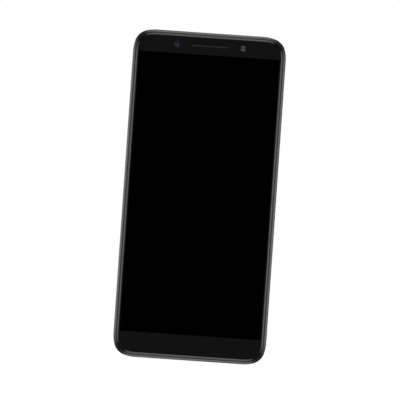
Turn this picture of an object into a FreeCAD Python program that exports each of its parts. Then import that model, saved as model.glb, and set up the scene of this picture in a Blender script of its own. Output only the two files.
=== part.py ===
import FreeCAD, Part
import math
import os

# A touch phone: a glass front on a moulded frame, a curved rear cover and the working pieces between them.
# X runs across the screen, Z from the charging port up to the earpiece, Y from the screen to the back.
# A "depth" is counted from the front of the glass, an "inset" from the body's outline. All in millimetres.

# Body
WIDTH = 68.6
HEIGHT = 147.0
THICKNESS = 8.5
LEAD_RADIUS = 18.0           # the gentle arc that leads into each corner
LEAD_TURN = 16.0             # degrees that each gentle arc turns
CORNER_RADIUS = 6.9          # the tight arc in the middle of each corner
LIP_RADIUS = 1.35            # rounded front lip of the frame
LIP_DROP = 0.35              # how far the lip lies behind the front of the glass
EDGE_RADIUS = 2.0            # start of the curve towards the back
EDGE_TURN = 60.0
REAR_CURVE = 2.7             # depth taken up by the whole rear curve
PARTING_TURN = 30.0          # where the frame stops and the rear cover begins
FRAME_WALL = 1.6
REAR_WALL = 0.9
FIT = 0.08                   # gap round a piece that fits an opening
SEAT = 0.05                  # gap between two pieces that lie against each other

# Glass and display
GLASS = 0.8
GLASS_GAP = 0.06
GLASS_ROLL = 1.45            # width of the glass's rounded edge
LEDGE = 0.75                 # shelf of the frame under the glass
TAPE = 0.15
SCREEN_SIDE = 2.7            # from the outline to the lit area
SCREEN_TOP = 9.95
SCREEN_BOTTOM = 11.35
FILM = 0.2
CELL = 0.6
BACKLIGHT = 0.8
CELL_BORDER = 0.45
CELL_TOP = 1.0
CELL_FOOT = 4.5              # bare lower strip of the display that carries its driver chip
CELL_CORNER = 3.0
DISPLAY_GAP = 0.1
FILM_CORNER = 1.0
BACKLIGHT_FOOT = 3.3
DRIVER = (20.0, 1.1)
DRIVER_DROP = 1.2
DISPLAY_GRIP = 0.7           # how far the display's flat cable overlaps the bare strip
DISPLAY_REACH = 1.1          # how far it bulges below the display
DISPLAY_FOLD = 0.45
DISPLAY_STEP = 0.6
CHIP_CORNER = 0.2            # softened corner of chips, plugs and sensors

# Front row, measured down from the top edge and out from the middle
FRONT_ROW = 6.0
EARPIECE_SLOT = 17.1
EARPIECE_SLOT_HEIGHT = 0.78
EARPIECE_WIDTH = 12.0
EARPIECE_HEIGHT = 5.0
EARPIECE_THICKNESS = 2.4
MESH_SINK = 0.12
MESH = 0.4
GASKET = 0.8
GASKET_BORDER = (1.2, 2.0)   # added to the slot's length and height
GASKET_DUCT = 6.0            # how much shorter its duct is than the slot
EARPIECE_CORNER = 0.8
EARPIECE_BORDER = 1.0
EARPIECE_DISH = 0.3
FRONT_CAMERA_X = -14.75
FRONT_CAMERA_SIZE = 5.0
FRONT_CAMERA_BARREL = 1.9
FRONT_CAMERA_WALL = 0.5
FRONT_CAMERA_NOSE = 0.9      # from the glass to the square base
FRONT_LENS = (0.12, 0.7)     # its two faces, behind the glass
LENS_BULGE = 0.3
SENSOR_X = 14.9
SENSOR_WIDTH = 2.8
SENSOR_HEIGHT = 3.1
SENSOR_PITCH = 1.42
SENSOR_EYE = (2.45, 1.28, 0.6)   # width, height and corner of each lens
SENSOR_DROP = 0.4            # from the glass to the sensor's housing
SENSOR_LENS = 0.6

# Chassis plate and circuit boards
PLATE = 0.5
STANDOFF = 1.9               # from the plate to the boards
BOARD = 0.8
BOARD_SIDE = 2.8             # from the outline to the edge of a board
BOARD_TOP = 2.9
MAIN_BOARD_HEIGHT = 42.6
SUB_BOARD_BOTTOM = 2.6
SUB_BOARD_HEIGHT = 19.9
SUB_BOARD_RIGHT = 6.4
COVER_PLATE = 0.5
COVER_GAP = 0.1
CORE_INSET = 3.7             # pieces that reach the back stay this far in from the outline
CAN_WALL = 0.2
CAN_HEIGHT = 1.2
FRONT_SHIELD = (18.0, 29.0)
FRONT_SHIELD_UP = 17.5       # middle of the lid, up from the lower edge of the main board
BACK_SHIELD = (38.0, 24.0)
BACK_SHIELD_UP = 18.5
CHIP_HEIGHT = 0.8
PROCESSOR_AT = (-8.0, 19.0)  # from the middle of the rear lid, and up from the board's lower edge
PROCESSOR = 13.0
PAD_SIZE = 12.0
PAD_CORNER = 0.5
STORAGE_AT = (8.0, 20.0)
STORAGE = (11.5, 13.0)
FRONT_CHIPS = ((-4.0, 8.5, 6.0, 6.0), (4.0, 9.5, 4.5, 5.0), (-3.5, 19.0, 7.0, 7.0),
               (4.5, 22.0, 4.0, 6.0), (0.0, 27.5, 5.0, 3.5))
BOARD_GAP = 0.4              # between a board and the wall or piece that it goes round
HOLE_CORNER = 0.5
KEY_NOTCH = (0.6, 0.5)       # room in the board round the key bracket
RIB = 0.6
RIB_HEIGHT = 1.5
RIB_GAP = 0.3
RIB_SHORT = 2.0
PLATE_GAP = 0.2
SLOT_GAP = 1.0

# Screws
SCREW_RADIUS = 0.7
SCREW_HEAD = 1.2
SCREW_HEAD_HEIGHT = 0.5
SCREW_CROSS = (1.3, 0.3, 0.25)   # length, width and depth of the cross in the head
TOWER_WALL = 0.6
COVER_FOOT = 5.0             # lower edge of the upper cover, up from the board's lower edge
COVER_TAB = 1.6
COVER_TAB_TOP = 7.0
COVER_ROOM = (1.2, 0.5, 1.2)     # gap round the camera, the flash and the fingerprint sensor
BOSS_RADIUS = 1.6

# Battery
BATTERY_SIDE = 5.3
BATTERY_GAP = 3.0            # free space above and below the battery
BATTERY_ROUND = 1.5
BATTERY_SWELL = 0.3          # free space behind the battery
BATTERY_TAPE_WIDTH = 10.0
BATTERY_TAPE_SHARE = 0.8
BATTERY_BOARD_SIDE = 6.0
BATTERY_BOARD = 2.2
BATTERY_BOARD_DEEP = (0.3, 0.2)  # reach in front of and behind the circuit boards
LEAD_HALF = 3.5
LEAD_STEP = (1.0, 1.6, 0.4)
BATTERY_TAPE = 0.1
FLEX = 0.12
COAX_RADIUS = 0.4
COAX_BEND = 1.2
COAX_OUT = 0.9               # beside the battery
COAX_IN = 2.0
COAX_PLUG = (1.0, 0.9)
COAX_DROP = 2.4
MAIN_FLEX_HALF = 4.0
FLEX_STEP = (0.8, 0.4, 0.2)
CAMERA_FLEX_HALF = 3.0
PLUG = 0.6                   # height of a board connector
PLUG_SIZE = (8.4, 2.2)
PLUG_GRIP = 0.9              # how far a cable reaches over its plug
PLUG_UP = 2.4                # a plug's middle, up from the board's lower edge
PLUG_DOWN = 2.2              # and down from the upper edge of the lower board
CAMERA_PLUG_DROP = 2.9

# Sockets and openings
PORT_DEPTH = 4.6
USB_WIDTH = 8.9
USB_HEIGHT = 3.2
USB_LENGTH = 7.3
USB_WALL = 0.3
USB_FOOT = 1.4               # plug of plastic that closes the shell
USB_TONGUE = (6.7, 0.7)
USB_SINK = 0.8               # from the mouth to the tip of the tongue
USB_SPACE = (0.15, 1.0)      # room in the board beside the shell and behind it
JACK_X = -24.5
JACK_BORE = 1.8
JACK_LENGTH = 14.0
JACK_BODY = 4.2
JACK_HALF = 3.0
JACK_END = 0.4               # wall behind the bore
JACK_CORNER = 0.3
JACK_PRESS = 1.8             # half width of the rib that presses the socket down
SPEAKER_HOLE = 0.55
SPEAKER_PITCH = 1.9
SPEAKER_HOLES = 6
SPEAKER_FIRST = 10.0
SPEAKER_LEFT = 7.0
MESH_SHEET = 0.1
SPEAKER_HALF = 0.2
SPEAKER_BORDER = (1.0, 0.6)  # spout and duct, past the row of holes
SPEAKER_DUCT = 6.0
MICROPHONE = (3.5, 2.6, 1.0)
MICROPHONE_UP = 1.9
MICROPHONE_DOWN = 1.7
MICROPHONE_HOLE = 0.5
MICROPHONE_X = -12.0
TOP_MICROPHONE_X = 9.5

# Keys on the right side
KEY_HEIGHT = 2.2
KEY_SINK = 0.02
KEY_FLANGE = 0.45
KEY_RIM = 0.18               # softened rim of a key
POWER_FLANGE = (1.6, 0.3)    # added to the key's length and height
VOLUME_FLANGE = 7.0
STUD_RADIUS = 0.6
POWER_Z = 61.0               # down from the top edge
POWER_LENGTH = 10.5
POWER_TRAVEL = 0.25
VOLUME_Z = 39.0
VOLUME_LENGTH = 20.0
VOLUME_SWITCH = 6.5          # each volume switch, out from the rocker's pivot
ROCK_GAP = 0.15
SWITCH_GAP = 0.05
SWITCH = 0.45
SWITCH_HALF = (1.6, 1.1)
SWITCH_DOME = (0.9, 0.12)
KEY_STRIP = (1.2, 1.3, 0.3)  # half width of the cable, reach of the bracket, thickness of the bracket
KEY_STRIP_FOOT = 2.0

# Card tray on the left side
TRAY_Z = 34.0                # down from the top edge
TRAY_HEAD = 17.0
TRAY_HEAD_HEIGHT = 2.4
TRAY_HEAD_THICKNESS = 1.2
TRAY_WIDTH = 14.5
TRAY_LENGTH = 26.5
TRAY = 0.95
READER_WALL = 0.2
SIM = (8.8, 12.3, 0.67)
MEMORY = (15.0, 11.0, 0.7)
TRAY_RIM = 1.3
TRAY_RISE = 0.65             # from the middle of the tray to the board behind it
PIN_RADIUS = 0.4
PIN_LENGTH = 3.0
PIN_UP = 2.0
CARD_LEDGE = 1.2             # the rim that each card lies on
CARD_CORNER = 0.5
CARD_CUT = 2.2
READER_GAP = (0.3, 1.2, 0.15, 0.1)   # from the wall, past the blade, beside it and in front of it

# Rear camera, flash and fingerprint sensor
CAMERA_X = 22.0
CAMERA_Z = 18.0              # down from the top edge
CAMERA_SIZE = 8.5
CAMERA_RING = 5.0
CAMERA_RING_WALL = 0.8
CAMERA_BARREL = 3.1
CAMERA_BARREL_LENGTH = 2.6
CAMERA_LENS = 2.2
CAMERA_CORNER = 0.6
CAMERA_GAP = 0.3
CAMERA_PLAY = 0.1
CAMERA_HOLLOW = 1.2
CAMERA_NOSE = 0.2
CAMERA_BULGE = (0.25, 0.5)   # from the nose to the crown of the lens, and the crown's height
CAMERA_PROUD = 0.6           # housing, below the covers
RING_BEVEL = (0.2, 0.45)     # flat left at the rim, and depth of the bevel
FOCUS_TRAVEL = 0.25
WINDOW = 0.4
FLASH_DROP = 9.6             # below the camera
FLASH_RADIUS = 2.1
FLASH_BULGE = 0.15
FLASH_BASE = (3.4, 0.2)
FLASH_LAMP = (1.8, 0.3)
FINGER_Z = 40.0              # down from the top edge
FINGER_RADIUS = 5.9
FINGER_RING_WALL = 0.4
FINGER_SINK = 0.25
FINGER_FLANGE = (0.7, 0.5)
FINGER_BEVEL = 0.7           # share of the ring's wall that the bevel takes

# Vibration motor
MOTOR_X = -22.0
MOTOR_Z = 12.5
MOTOR_RADIUS = 4.0
MOTOR_HEIGHT = 2.7
MOTOR_WALL = 0.25
MOTOR_PIN = 0.4
MOTOR_PLAY = 0.3
MOTOR_PIN_PLAY = 0.04
MOTOR_HUB = 3                # hub radius in pin radii

# Clips of the rear cover
CLIP_LENGTH = 4.0
CLIP_HOOK_LENGTH = 3.0
CLIP_SHARES = (0.2, 0.45)    # heights of the side clips as shares of the body
CLIP_TOP = 21.0
OUTSIDE = 1.0                # how far a cut starts outside the body
CLIP = 0.6
CLIP_HEIGHT = 0.7
CLIP_ROOT = 0.6              # how far a clip runs into the curve of the cover
CLIP_HOOK = 0.3
BOTTOM_CLIP_X = 23.0

# Levels, from the glass to the back
FILM_BACK = GLASS + FILM
CELL_BACK = FILM_BACK + CELL
BACKLIGHT_BACK = CELL_BACK + BACKLIGHT
PLATE_FRONT = BACKLIGHT_BACK + DISPLAY_GAP
PLATE_BACK = PLATE_FRONT + PLATE
BOARD_FRONT = PLATE_BACK + STANDOFF
BOARD_BACK = BOARD_FRONT + BOARD
INNER_BACK = THICKNESS - REAR_WALL
COVER_BACK = INNER_BACK - COVER_GAP
COVER_FRONT = COVER_BACK - COVER_PLATE
BACK_LID = COVER_FRONT - COVER_GAP
TRAY_DEPTH = BOARD_FRONT - TRAY_RISE
KEY_DEPTH = TRAY_DEPTH
BAND_END = THICKNESS - REAR_CURVE

# Places
HALF = WIDTH / 2
GLASS_INSET = LIP_RADIUS + GLASS_GAP
LEDGE_INSET = LIP_RADIUS + LEDGE
LEDGE_DEPTH = GLASS + TAPE
WALL_X = HALF - FRAME_WALL
BOARD_X = HALF - BOARD_SIDE
ROW_Z = HEIGHT - FRONT_ROW
MAIN_TOP = HEIGHT - BOARD_TOP
MAIN_BOTTOM = MAIN_TOP - MAIN_BOARD_HEIGHT
SUB_TOP = SUB_BOARD_BOTTOM + SUB_BOARD_HEIGHT
BATTERY_X = HALF - BATTERY_SIDE
BATTERY_BOTTOM = SUB_TOP + BATTERY_GAP
BATTERY_TOP = MAIN_BOTTOM - BATTERY_GAP
BATTERY_BACK = INNER_BACK - BATTERY_SWELL
CAMERA_AT = (CAMERA_X, HEIGHT - CAMERA_Z)
FLASH_AT = (CAMERA_X, HEIGHT - CAMERA_Z - FLASH_DROP)
FINGER_AT = (0, HEIGHT - FINGER_Z)
POWER_AT = HEIGHT - POWER_Z
VOLUME_AT = HEIGHT - VOLUME_Z
TRAY_AT = HEIGHT - TRAY_Z
TOP_SCREWS = ((-BOARD_X + 2.2, MAIN_TOP - 19.6), (FRONT_CAMERA_X - 4.55, MAIN_TOP - 7.6),
              (SENSOR_X - 5.3, MAIN_TOP - 7.3), (BOARD_X - 3.1, MAIN_TOP - 4.6),
              (BOARD_X - 3.1, MAIN_BOTTOM + 3.1))
BOTTOM_SCREWS = ((-BOARD_X + 3.1, 7.0), (-11.5, 13.5), (3.2, 12.2))
SPEAKER_SCREWS = ((HALF - CORE_INSET - 3.0, SUB_TOP - 3.0),)
SCREWS = TOP_SCREWS + BOTTOM_SCREWS + SPEAKER_SCREWS
ACROSS, BACK, UP = FreeCAD.Vector(1, 0, 0), FreeCAD.Vector(0, 1, 0), FreeCAD.Vector(0, 0, 1)
TINY, LOOSE = 1e-6, 1e-4     # how close two lengths are to count as the same


# ---- Shapes that many pieces share

def place(x, z, depth):
    return FreeCAD.Vector(x, depth - THICKNESS / 2, z)


def corner_arcs():
    """The twelve arcs of the outline: centre, radius, start and end angle, going round once."""
    turn = math.radians(LEAD_TURN)
    slack = LEAD_RADIUS - CORNER_RADIUS
    reach = LEAD_RADIUS - slack * (math.cos(turn) - math.sin(turn))
    side = (HALF - LEAD_RADIUS, HEIGHT / 2 - reach)
    tight = (side[0] + slack * math.cos(turn), side[1] + slack * math.sin(turn))
    end = (HALF - reach, HEIGHT / 2 - LEAD_RADIUS)
    first = [(side, LEAD_RADIUS, 0, LEAD_TURN), (tight, CORNER_RADIUS, LEAD_TURN, 90 - LEAD_TURN),
             (end, LEAD_RADIUS, 90 - LEAD_TURN, 90)]
    arcs = []
    for quarter, (right, up) in enumerate(((1, 1), (-1, 1), (-1, -1), (1, -1))):
        mirrored = right * up < 0
        for centre, radius, start, stop in (reversed(first) if mirrored else first):
            if mirrored:
                start, stop = 90 - stop, 90 - start
            middle = (right * centre[0], HEIGHT / 2 + up * centre[1])
            arcs.append((middle, radius, start + 90 * quarter, stop + 90 * quarter))
    return arcs


def outline(inset, depth):
    """The body's outline, drawn in by an inset, as one closed wire."""
    def at(arc, degrees):
        angle = math.radians(degrees)
        reach = arc[1] - inset
        return place(arc[0][0] + reach * math.cos(angle), arc[0][1] + reach * math.sin(angle), depth)

    arcs = corner_arcs()
    edges = []
    for arc, following in zip(arcs, arcs[1:] + arcs[:1]):
        start, stop = arc[2], arc[3]
        edges.append(Part.Arc(at(arc, start), at(arc, (start + stop) / 2), at(arc, stop)).toShape())
        gap = at(following, following[2]) - at(arc, stop)
        if gap.Length > TINY:
            edges.append(Part.makeLine(at(arc, stop), at(following, following[2])))
    return Part.Wire(edges)


def slab(inset, depths):
    """A plate that fills the outline."""
    return Part.Face(outline(inset, depths[0])).extrude(BACK * (depths[1] - depths[0]))


def ring(start, *steps):
    """A closed section carried round the outline. A step is a point, or (via, end) for an arc."""
    spine = outline(0, 0)
    seam = spine.Edges[0].valueAt(spine.Edges[0].FirstParameter)

    def at(point):
        return place(seam.x - point[0], seam.z, point[1])

    edges, here = [], start
    for step in steps + (start,):
        if isinstance(step[0], tuple):
            via, step = step
            edges.append(Part.Arc(at(here), at(via), at(step)).toShape())
        elif math.dist(here, step) > TINY:
            edges.append(Part.makeLine(at(here), at(step)))
        here = step
    return spine.makePipeShell([Part.Wire(edges)], True, False, 0)


def level_arc(start, end):
    """The middle point of the arc from start that arrives level at end."""
    run, rise = end[0] - start[0], end[1] - start[1]
    radius = (run * run + rise * rise) / (2 * rise)
    half = math.asin(run / abs(radius)) / 2
    return (end[0] - abs(radius) * math.sin(half), end[1] - radius * (1 - math.cos(half)))


def rear_curve(turn):
    """A point of the outer curve between the side band and the back."""
    angle, change = math.radians(turn), math.radians(EDGE_TURN)
    wide = (REAR_CURVE - EDGE_RADIUS * math.sin(change)) / (1 - math.sin(change))
    radius = EDGE_RADIUS if turn <= EDGE_TURN else wide
    shift = radius - EDGE_RADIUS
    inset = EDGE_RADIUS + shift * math.cos(change) - radius * math.cos(angle)
    return (inset, BAND_END - shift * math.sin(change) + radius * math.sin(angle))


def block(xs, zs, depths, radius=0):
    """A box between two values each way, its corners rounded as seen from the front."""
    box = Part.makeBox(xs[1] - xs[0], depths[1] - depths[0], zs[1] - zs[0], place(xs[0], zs[0], depths[0]))
    if radius:
        box = box.makeFillet(radius, edges_along(box, BACK))
    return box


def tile(at, width, height, depths, radius=0):
    """A box about a middle point."""
    xs = (at[0] - width / 2, at[0] + width / 2)
    return block(xs, (at[1] - height / 2, at[1] + height / 2), depths, radius)


def disc(at, depths, radius):
    return Part.makeCylinder(radius, depths[1] - depths[0], place(at[0], at[1], depths[0]), BACK)


def tube(at, depths, outer, inner):
    return disc(at, depths, outer).cut(disc(at, depths, inner))


def pill(start, along, length, width, reach):
    """A round-ended bar: `length` by `width` about start, pushed out by reach."""
    tip = along * ((length - width) / 2)
    out = along * (width / 2)
    side = FreeCAD.Vector(reach).cross(along).normalize() * (width / 2)
    edges = []
    for way in (1, -1):
        edges.append(Part.makeLine(start - tip * way + side * way, start + tip * way + side * way))
        edges.append(Part.Arc(start + tip * way + side * way, start + (tip + out) * way,
                              start + tip * way - side * way).toShape())
    return Part.Face(Part.Wire(Part.__sortEdges__(edges))).extrude(reach)


def edges_along(shape, direction):
    return [edge for edge in shape.Edges
            if edge.Curve.TypeId == "Part::GeomLine" and abs(edge.Curve.Direction.dot(direction)) > 0.99]


def ribbon(xs, points, thickness):
    """A flat flexible strip that follows (z, depth) points."""
    sides = ([], [])
    for number, (z, depth) in enumerate(points):
        before = points[max(number - 1, 0)]
        after = points[min(number + 1, len(points) - 1)]
        turns = [math.atan2(q[1] - p[1], q[0] - p[0])
                 for p, q in ((before, (z, depth)), ((z, depth), after)) if p != q]
        bend = (math.remainder(turns[-1] - turns[0], 2 * math.pi)) / 2
        angle = turns[0] + bend
        reach = thickness / 2 / math.cos(bend)
        up, back = -reach * math.sin(angle), reach * math.cos(angle)
        for side, way in zip(sides, (1, -1)):
            side.append(place(xs[0], z + way * up, depth + way * back))
    loop = sides[0] + sides[1][::-1]
    return Part.Face(Part.makePolygon(loop + loop[:1])).extrude(ACROSS * (xs[1] - xs[0]))


def join(first, *others):
    return first.multiFuse(list(others)).removeSplitter()


def can(at, width, height, lid, board):
    """A folded sheet lid over parts of a board: closed at depth lid, open at depth board."""
    inner = lid + math.copysign(CAN_WALL, board - lid)
    hollow = tile(at, width - 2 * CAN_WALL, height - 2 * CAN_WALL, sorted((inner, board)))
    return tile(at, width, height, sorted((lid, board)), CAN_WALL * 2).cut(hollow)


def clips():
    """Where the rear cover's clips hook the frame: middle point and the way out."""
    spots = []
    for z in [HEIGHT * share for share in CLIP_SHARES] + [HEIGHT - CLIP_TOP]:
        spots += [((way * WALL_X, z), (way, 0)) for way in (-1, 1)]
    for way in (-1, 1):
        spots.append(((way * BOTTOM_CLIP_X, FRAME_WALL), (0, -1)))
        spots.append(((way * BOTTOM_CLIP_X / 2, HEIGHT - FRAME_WALL), (0, 1)))
    return spots


# ---- Front

def cover_glass():
    flat = GLASS_INSET + GLASS_ROLL
    start, edge = (flat, 0), (GLASS_INSET, LIP_DROP)
    rim = ring(start, (level_arc(edge, start), edge), (GLASS_INSET, GLASS), (flat, GLASS))
    glass = join(rim, slab(flat, (0, GLASS)))
    slot = pill(place(0, ROW_Z, 0), ACROSS, EARPIECE_SLOT, EARPIECE_SLOT_HEIGHT, BACK * GLASS)
    return glass.cut(slot)


def glass_tape():
    return ring((GLASS_INSET + SEAT, GLASS), (LEDGE_INSET, GLASS), (LEDGE_INSET, LEDGE_DEPTH),
                (GLASS_INSET + SEAT, LEDGE_DEPTH))


def display_span(border, foot):
    """The x and z limits of a display layer that reaches past the lit area."""
    side = HALF - SCREEN_SIDE + border
    return (-side, side), (SCREEN_BOTTOM - foot, HEIGHT - SCREEN_TOP + CELL_TOP)


def touch_film():
    xs, zs = display_span(CELL_BORDER / 2, CELL_TOP)
    return block(xs, zs, (GLASS, FILM_BACK), FILM_CORNER)


def foot_plate(xs, zs, depths):
    """A plate whose two lower corners are rounded."""
    plate = block(xs, zs, depths)
    low = [edge for edge in edges_along(plate, BACK) if edge.CenterOfMass.z < HEIGHT / 2]
    return plate.makeFillet(CELL_CORNER, low)


def lcd_cell():
    """Two sheets of glass: the rear one reaches further down and carries the driver chip."""
    xs, zs = display_span(CELL_BORDER, CELL_FOOT)
    middle = FILM_BACK + CELL / 2
    front = block(xs, display_span(0, CELL_TOP)[1], (FILM_BACK, middle))
    return join(front, foot_plate(xs, zs, (middle, CELL_BACK)))


def display_driver():
    foot = SCREEN_BOTTOM - CELL_TOP
    return tile((0, foot - DRIVER_DROP), *DRIVER, (FILM_BACK + SEAT, FILM_BACK + CELL / 2), CHIP_CORNER / 2)


def backlight():
    xs, zs = display_span(CELL_BORDER - SEAT, BACKLIGHT_FOOT)
    return foot_plate(xs, zs, (CELL_BACK, BACKLIGHT_BACK))


def display_flex():
    """Leaves the bare strip of the display, folds under it and goes through the plate to the lower board."""
    foot = SCREEN_BOTTOM - CELL_FOOT
    front, behind = CELL_BACK - CELL / 2 - FLEX / 2, BACKLIGHT_BACK + DISPLAY_GAP / 2
    strip = FLEX / 2
    low = foot - DISPLAY_REACH
    rise = DISPLAY_SLOT[0] + DISPLAY_STEP
    path = [(foot + DISPLAY_GRIP, front), (low + DISPLAY_FOLD, front), (low, front + DISPLAY_FOLD),
            (low, behind - DISPLAY_FOLD), (low + DISPLAY_FOLD, behind), (rise, behind),
            (rise + DISPLAY_STEP, behind + DISPLAY_STEP),
            (rise + DISPLAY_STEP, BOARD_FRONT - PLUG - 4 * SEAT)]
    return ribbon(DISPLAY_FLEX, path, strip)


# ---- Frame and chassis

def frame():
    """The moulded band round the sides, with a shelf under the glass and every opening of the edges."""
    lip_mid = (LIP_RADIUS * (1 - math.cos(math.pi / 4)), LIP_DROP + LIP_RADIUS * (1 - math.sin(math.pi / 4)))
    parting = rear_curve(PARTING_TURN)
    body = ring((LIP_RADIUS, LIP_DROP), (lip_mid, (0, LIP_DROP + LIP_RADIUS)), (0, BAND_END),
                (rear_curve(PARTING_TURN / 2), parting), (FRAME_WALL, parting[1]), (FRAME_WALL, PLATE_FRONT),
                (LEDGE_INSET, PLATE_FRONT), (LEDGE_INSET, LEDGE_DEPTH), (LIP_RADIUS, LEDGE_DEPTH))
    through = 2 * FRAME_WALL
    cuts = [
        side_pill(1, POWER_AT, KEY_DEPTH, POWER_LENGTH + 2 * FIT, KEY_HEIGHT + 2 * FIT, through),
        side_pill(1, VOLUME_AT, KEY_DEPTH, VOLUME_LENGTH + 3 * FIT, KEY_HEIGHT + 2 * FIT, through),
        side_pill(-1, TRAY_AT, TRAY_DEPTH, TRAY_HEAD + 2 * FIT, TRAY_HEAD_HEIGHT + 2 * FIT, through),
        pill(place(0, -OUTSIDE, PORT_DEPTH), ACROSS, USB_WIDTH + 2 * FIT, USB_HEIGHT + 2 * FIT,
             UP * (through + OUTSIDE)),
        edge_hole(JACK_X, HEIGHT - through, JACK_BORE, through + OUTSIDE),
        edge_hole(MICROPHONE_X, -OUTSIDE, MICROPHONE_HOLE, through + OUTSIDE),
        edge_hole(TOP_MICROPHONE_X, HEIGHT - through, MICROPHONE_HOLE, through + OUTSIDE),
    ]
    cuts += [edge_hole(x, -OUTSIDE, SPEAKER_HOLE, through + OUTSIDE) for x in speaker_row()]
    for (x, z), way in clips():
        cuts.append(clip_nub(x, z, way, FIT))
    return body.cut(cuts)


def side_pill(way, z, depth, length, height, reach):
    """A round-ended bar through the left (-1) or right (1) wall, starting outside it."""
    start = place(way * (HALF + OUTSIDE), z, depth)
    return pill(start, UP, length, height, ACROSS * (-way * (reach + OUTSIDE)))


def edge_hole(x, z, radius, length):
    return Part.makeCylinder(radius, length, place(x, z, PORT_DEPTH), UP)


def speaker_row():
    return [SPEAKER_FIRST + SPEAKER_PITCH * number for number in range(SPEAKER_HOLES)]


def clip_box(x, z, way, thickness, length, height, depth, shift):
    """A box against the inside of the wall at (x, z), shifted outwards."""
    if way[0]:
        xs = sorted((x + way[0] * shift, x + way[0] * (shift - thickness)))
        return block(xs, (z - length / 2, z + length / 2), (depth, depth + height))
    zs = sorted((z + way[1] * shift, z + way[1] * (shift - thickness)))
    return block((x - length / 2, x + length / 2), zs, (depth, depth + height))


def clip_nub(x, z, way, gap):
    """The hook of a clip, or with a gap the notch in the frame that it snaps into."""
    depth = rear_curve(PARTING_TURN)[1] - CLIP_HEIGHT
    return clip_box(x, z, way, CLIP_HOOK + SEAT + gap, CLIP_HOOK_LENGTH + 2 * gap, CLIP_HEIGHT / 2 + gap,
                    depth, CLIP_HOOK + gap - SEAT)


def mid_plate():
    """A pressed sheet between display and electronics, with screw bosses and ribs beside the battery."""
    plate = slab(FRAME_WALL, (PLATE_FRONT, PLATE_BACK))
    span = (BATTERY_BOTTOM + RIB_SHORT, BATTERY_TOP - RIB_SHORT)
    ribs = [block((x, x + RIB), span, (PLATE_BACK, PLATE_BACK + RIB_HEIGHT))
            for x in (-BATTERY_X - RIB_GAP - RIB, BATTERY_X + RIB_GAP)]
    bosses = [disc(at, (PLATE_BACK, BOARD_FRONT), BOSS_RADIUS) for at in SCREWS]
    sheet = (PLATE_FRONT, PLATE_BACK)
    cuts = [jack_space(sheet, 2 * SEAT),
            block((DISPLAY_FLEX[0] - SLOT_GAP, DISPLAY_FLEX[1] + SLOT_GAP), DISPLAY_SLOT, sheet)]
    for x, width, height in ((FRONT_CAMERA_X, FRONT_CAMERA_SIZE, FRONT_CAMERA_SIZE),
                             (0, EARPIECE_WIDTH, EARPIECE_HEIGHT), (SENSOR_X, SENSOR_WIDTH, SENSOR_HEIGHT)):
        cuts.append(tile((x, ROW_Z), width + 2 * PLATE_GAP, height + 2 * PLATE_GAP, sheet))
    cuts += [disc(at, (PLATE_BACK - PLATE / 2, BOARD_FRONT), SCREW_RADIUS + SEAT) for at in SCREWS]
    return join(plate, *ribs, *bosses).cut(cuts)


def rear_cover():
    """The curved back, with clips that snap into the frame."""
    parting, crown = rear_curve(PARTING_TURN), rear_curve(90)
    inner_start, inner_end = (FRAME_WALL, parting[1]), (crown[0], INNER_BACK)
    rim = ring(parting, (rear_curve((PARTING_TURN + EDGE_TURN) / 2), rear_curve(EDGE_TURN)),
               (rear_curve((EDGE_TURN + 90) / 2), crown), inner_end,
               (level_arc(inner_start, inner_end), inner_start))
    shell = join(rim, slab(crown[0], (INNER_BACK, THICKNESS)))
    hooks = []
    for (x, z), way in clips():
        hooks.append(clip_box(x, z, way, CLIP, CLIP_LENGTH, CLIP_HEIGHT + CLIP_ROOT,
                              parting[1] - CLIP_HEIGHT, -SEAT))
        hooks.append(clip_nub(x, z, way, 0))
    holes = [disc(CAMERA_AT, (INNER_BACK, THICKNESS), CAMERA_RING + SEAT),
             disc(FLASH_AT, (INNER_BACK, THICKNESS), FLASH_RADIUS + SEAT),
             disc(FINGER_AT, (INNER_BACK, THICKNESS), FINGER_RADIUS + SEAT + FINGER_RING_WALL + SEAT)]
    return join(shell, *hooks).cut(holes)


def screws():
    """Identical pan-head screws that hold the boards and covers to the bosses of the plate."""
    solids = []
    top = COVER_BACK - SEAT
    seat = top - SCREW_HEAD_HEIGHT
    for at in SCREWS:
        shank = disc(at, (PLATE_BACK + SCREW_RADIUS, seat), SCREW_RADIUS)
        body = join(disc(at, (seat, top), SCREW_HEAD), shank)
        length, width, deep = SCREW_CROSS
        slots = [tile(at, length, width, (top - deep, top)), tile(at, width, length, (top - deep, top))]
        solids.append(body.cut(slots))
    return Part.makeCompound(solids)


# ---- Upper electronics

def screw_holes(places, depths):
    return [disc(at, depths, SCREW_RADIUS + 3 * SEAT) for at in places]


def screw_seats(places, front):
    """Holes from a front level to the back of a cover, each with a wider seat for the head."""
    head = (COVER_BACK - SEAT - SCREW_HEAD_HEIGHT, COVER_BACK)
    seats = [disc(at, head, SCREW_HEAD + 2 * SEAT) for at in places]
    return seats + screw_holes(places, (front, COVER_BACK))


def main_board():
    sheet = block((-BOARD_X, BOARD_X), (MAIN_BOTTOM, MAIN_TOP), (BOARD_FRONT, BOARD_BACK))
    cuts = screw_holes(TOP_SCREWS, (BOARD_FRONT, BOARD_BACK))
    cuts.append(jack_space((BOARD_FRONT, BOARD_BACK), BOARD_GAP))
    room = CAMERA_SIZE + 2 * CAMERA_GAP
    cuts.append(tile(CAMERA_AT, room, room, (BOARD_FRONT, BOARD_BACK), HOLE_CORNER))
    cuts.append(block((SWITCH_BACK - FLEX - KEY_NOTCH[0], HALF), (0, KEY_SPAN[1] + KEY_NOTCH[1]),
                      (BOARD_FRONT, BOARD_BACK)))
    return sheet.cut(cuts).common(slab(FRAME_WALL + BOARD_GAP, (BOARD_FRONT, BOARD_BACK)))


def jack_space(depths, gap):
    """Room for the headphone socket's body at the top edge."""
    half = JACK_HALF + gap
    return block((JACK_X - half, JACK_X + half), (HEIGHT - JACK_LENGTH - JACK_END - gap, HEIGHT), depths)


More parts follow.
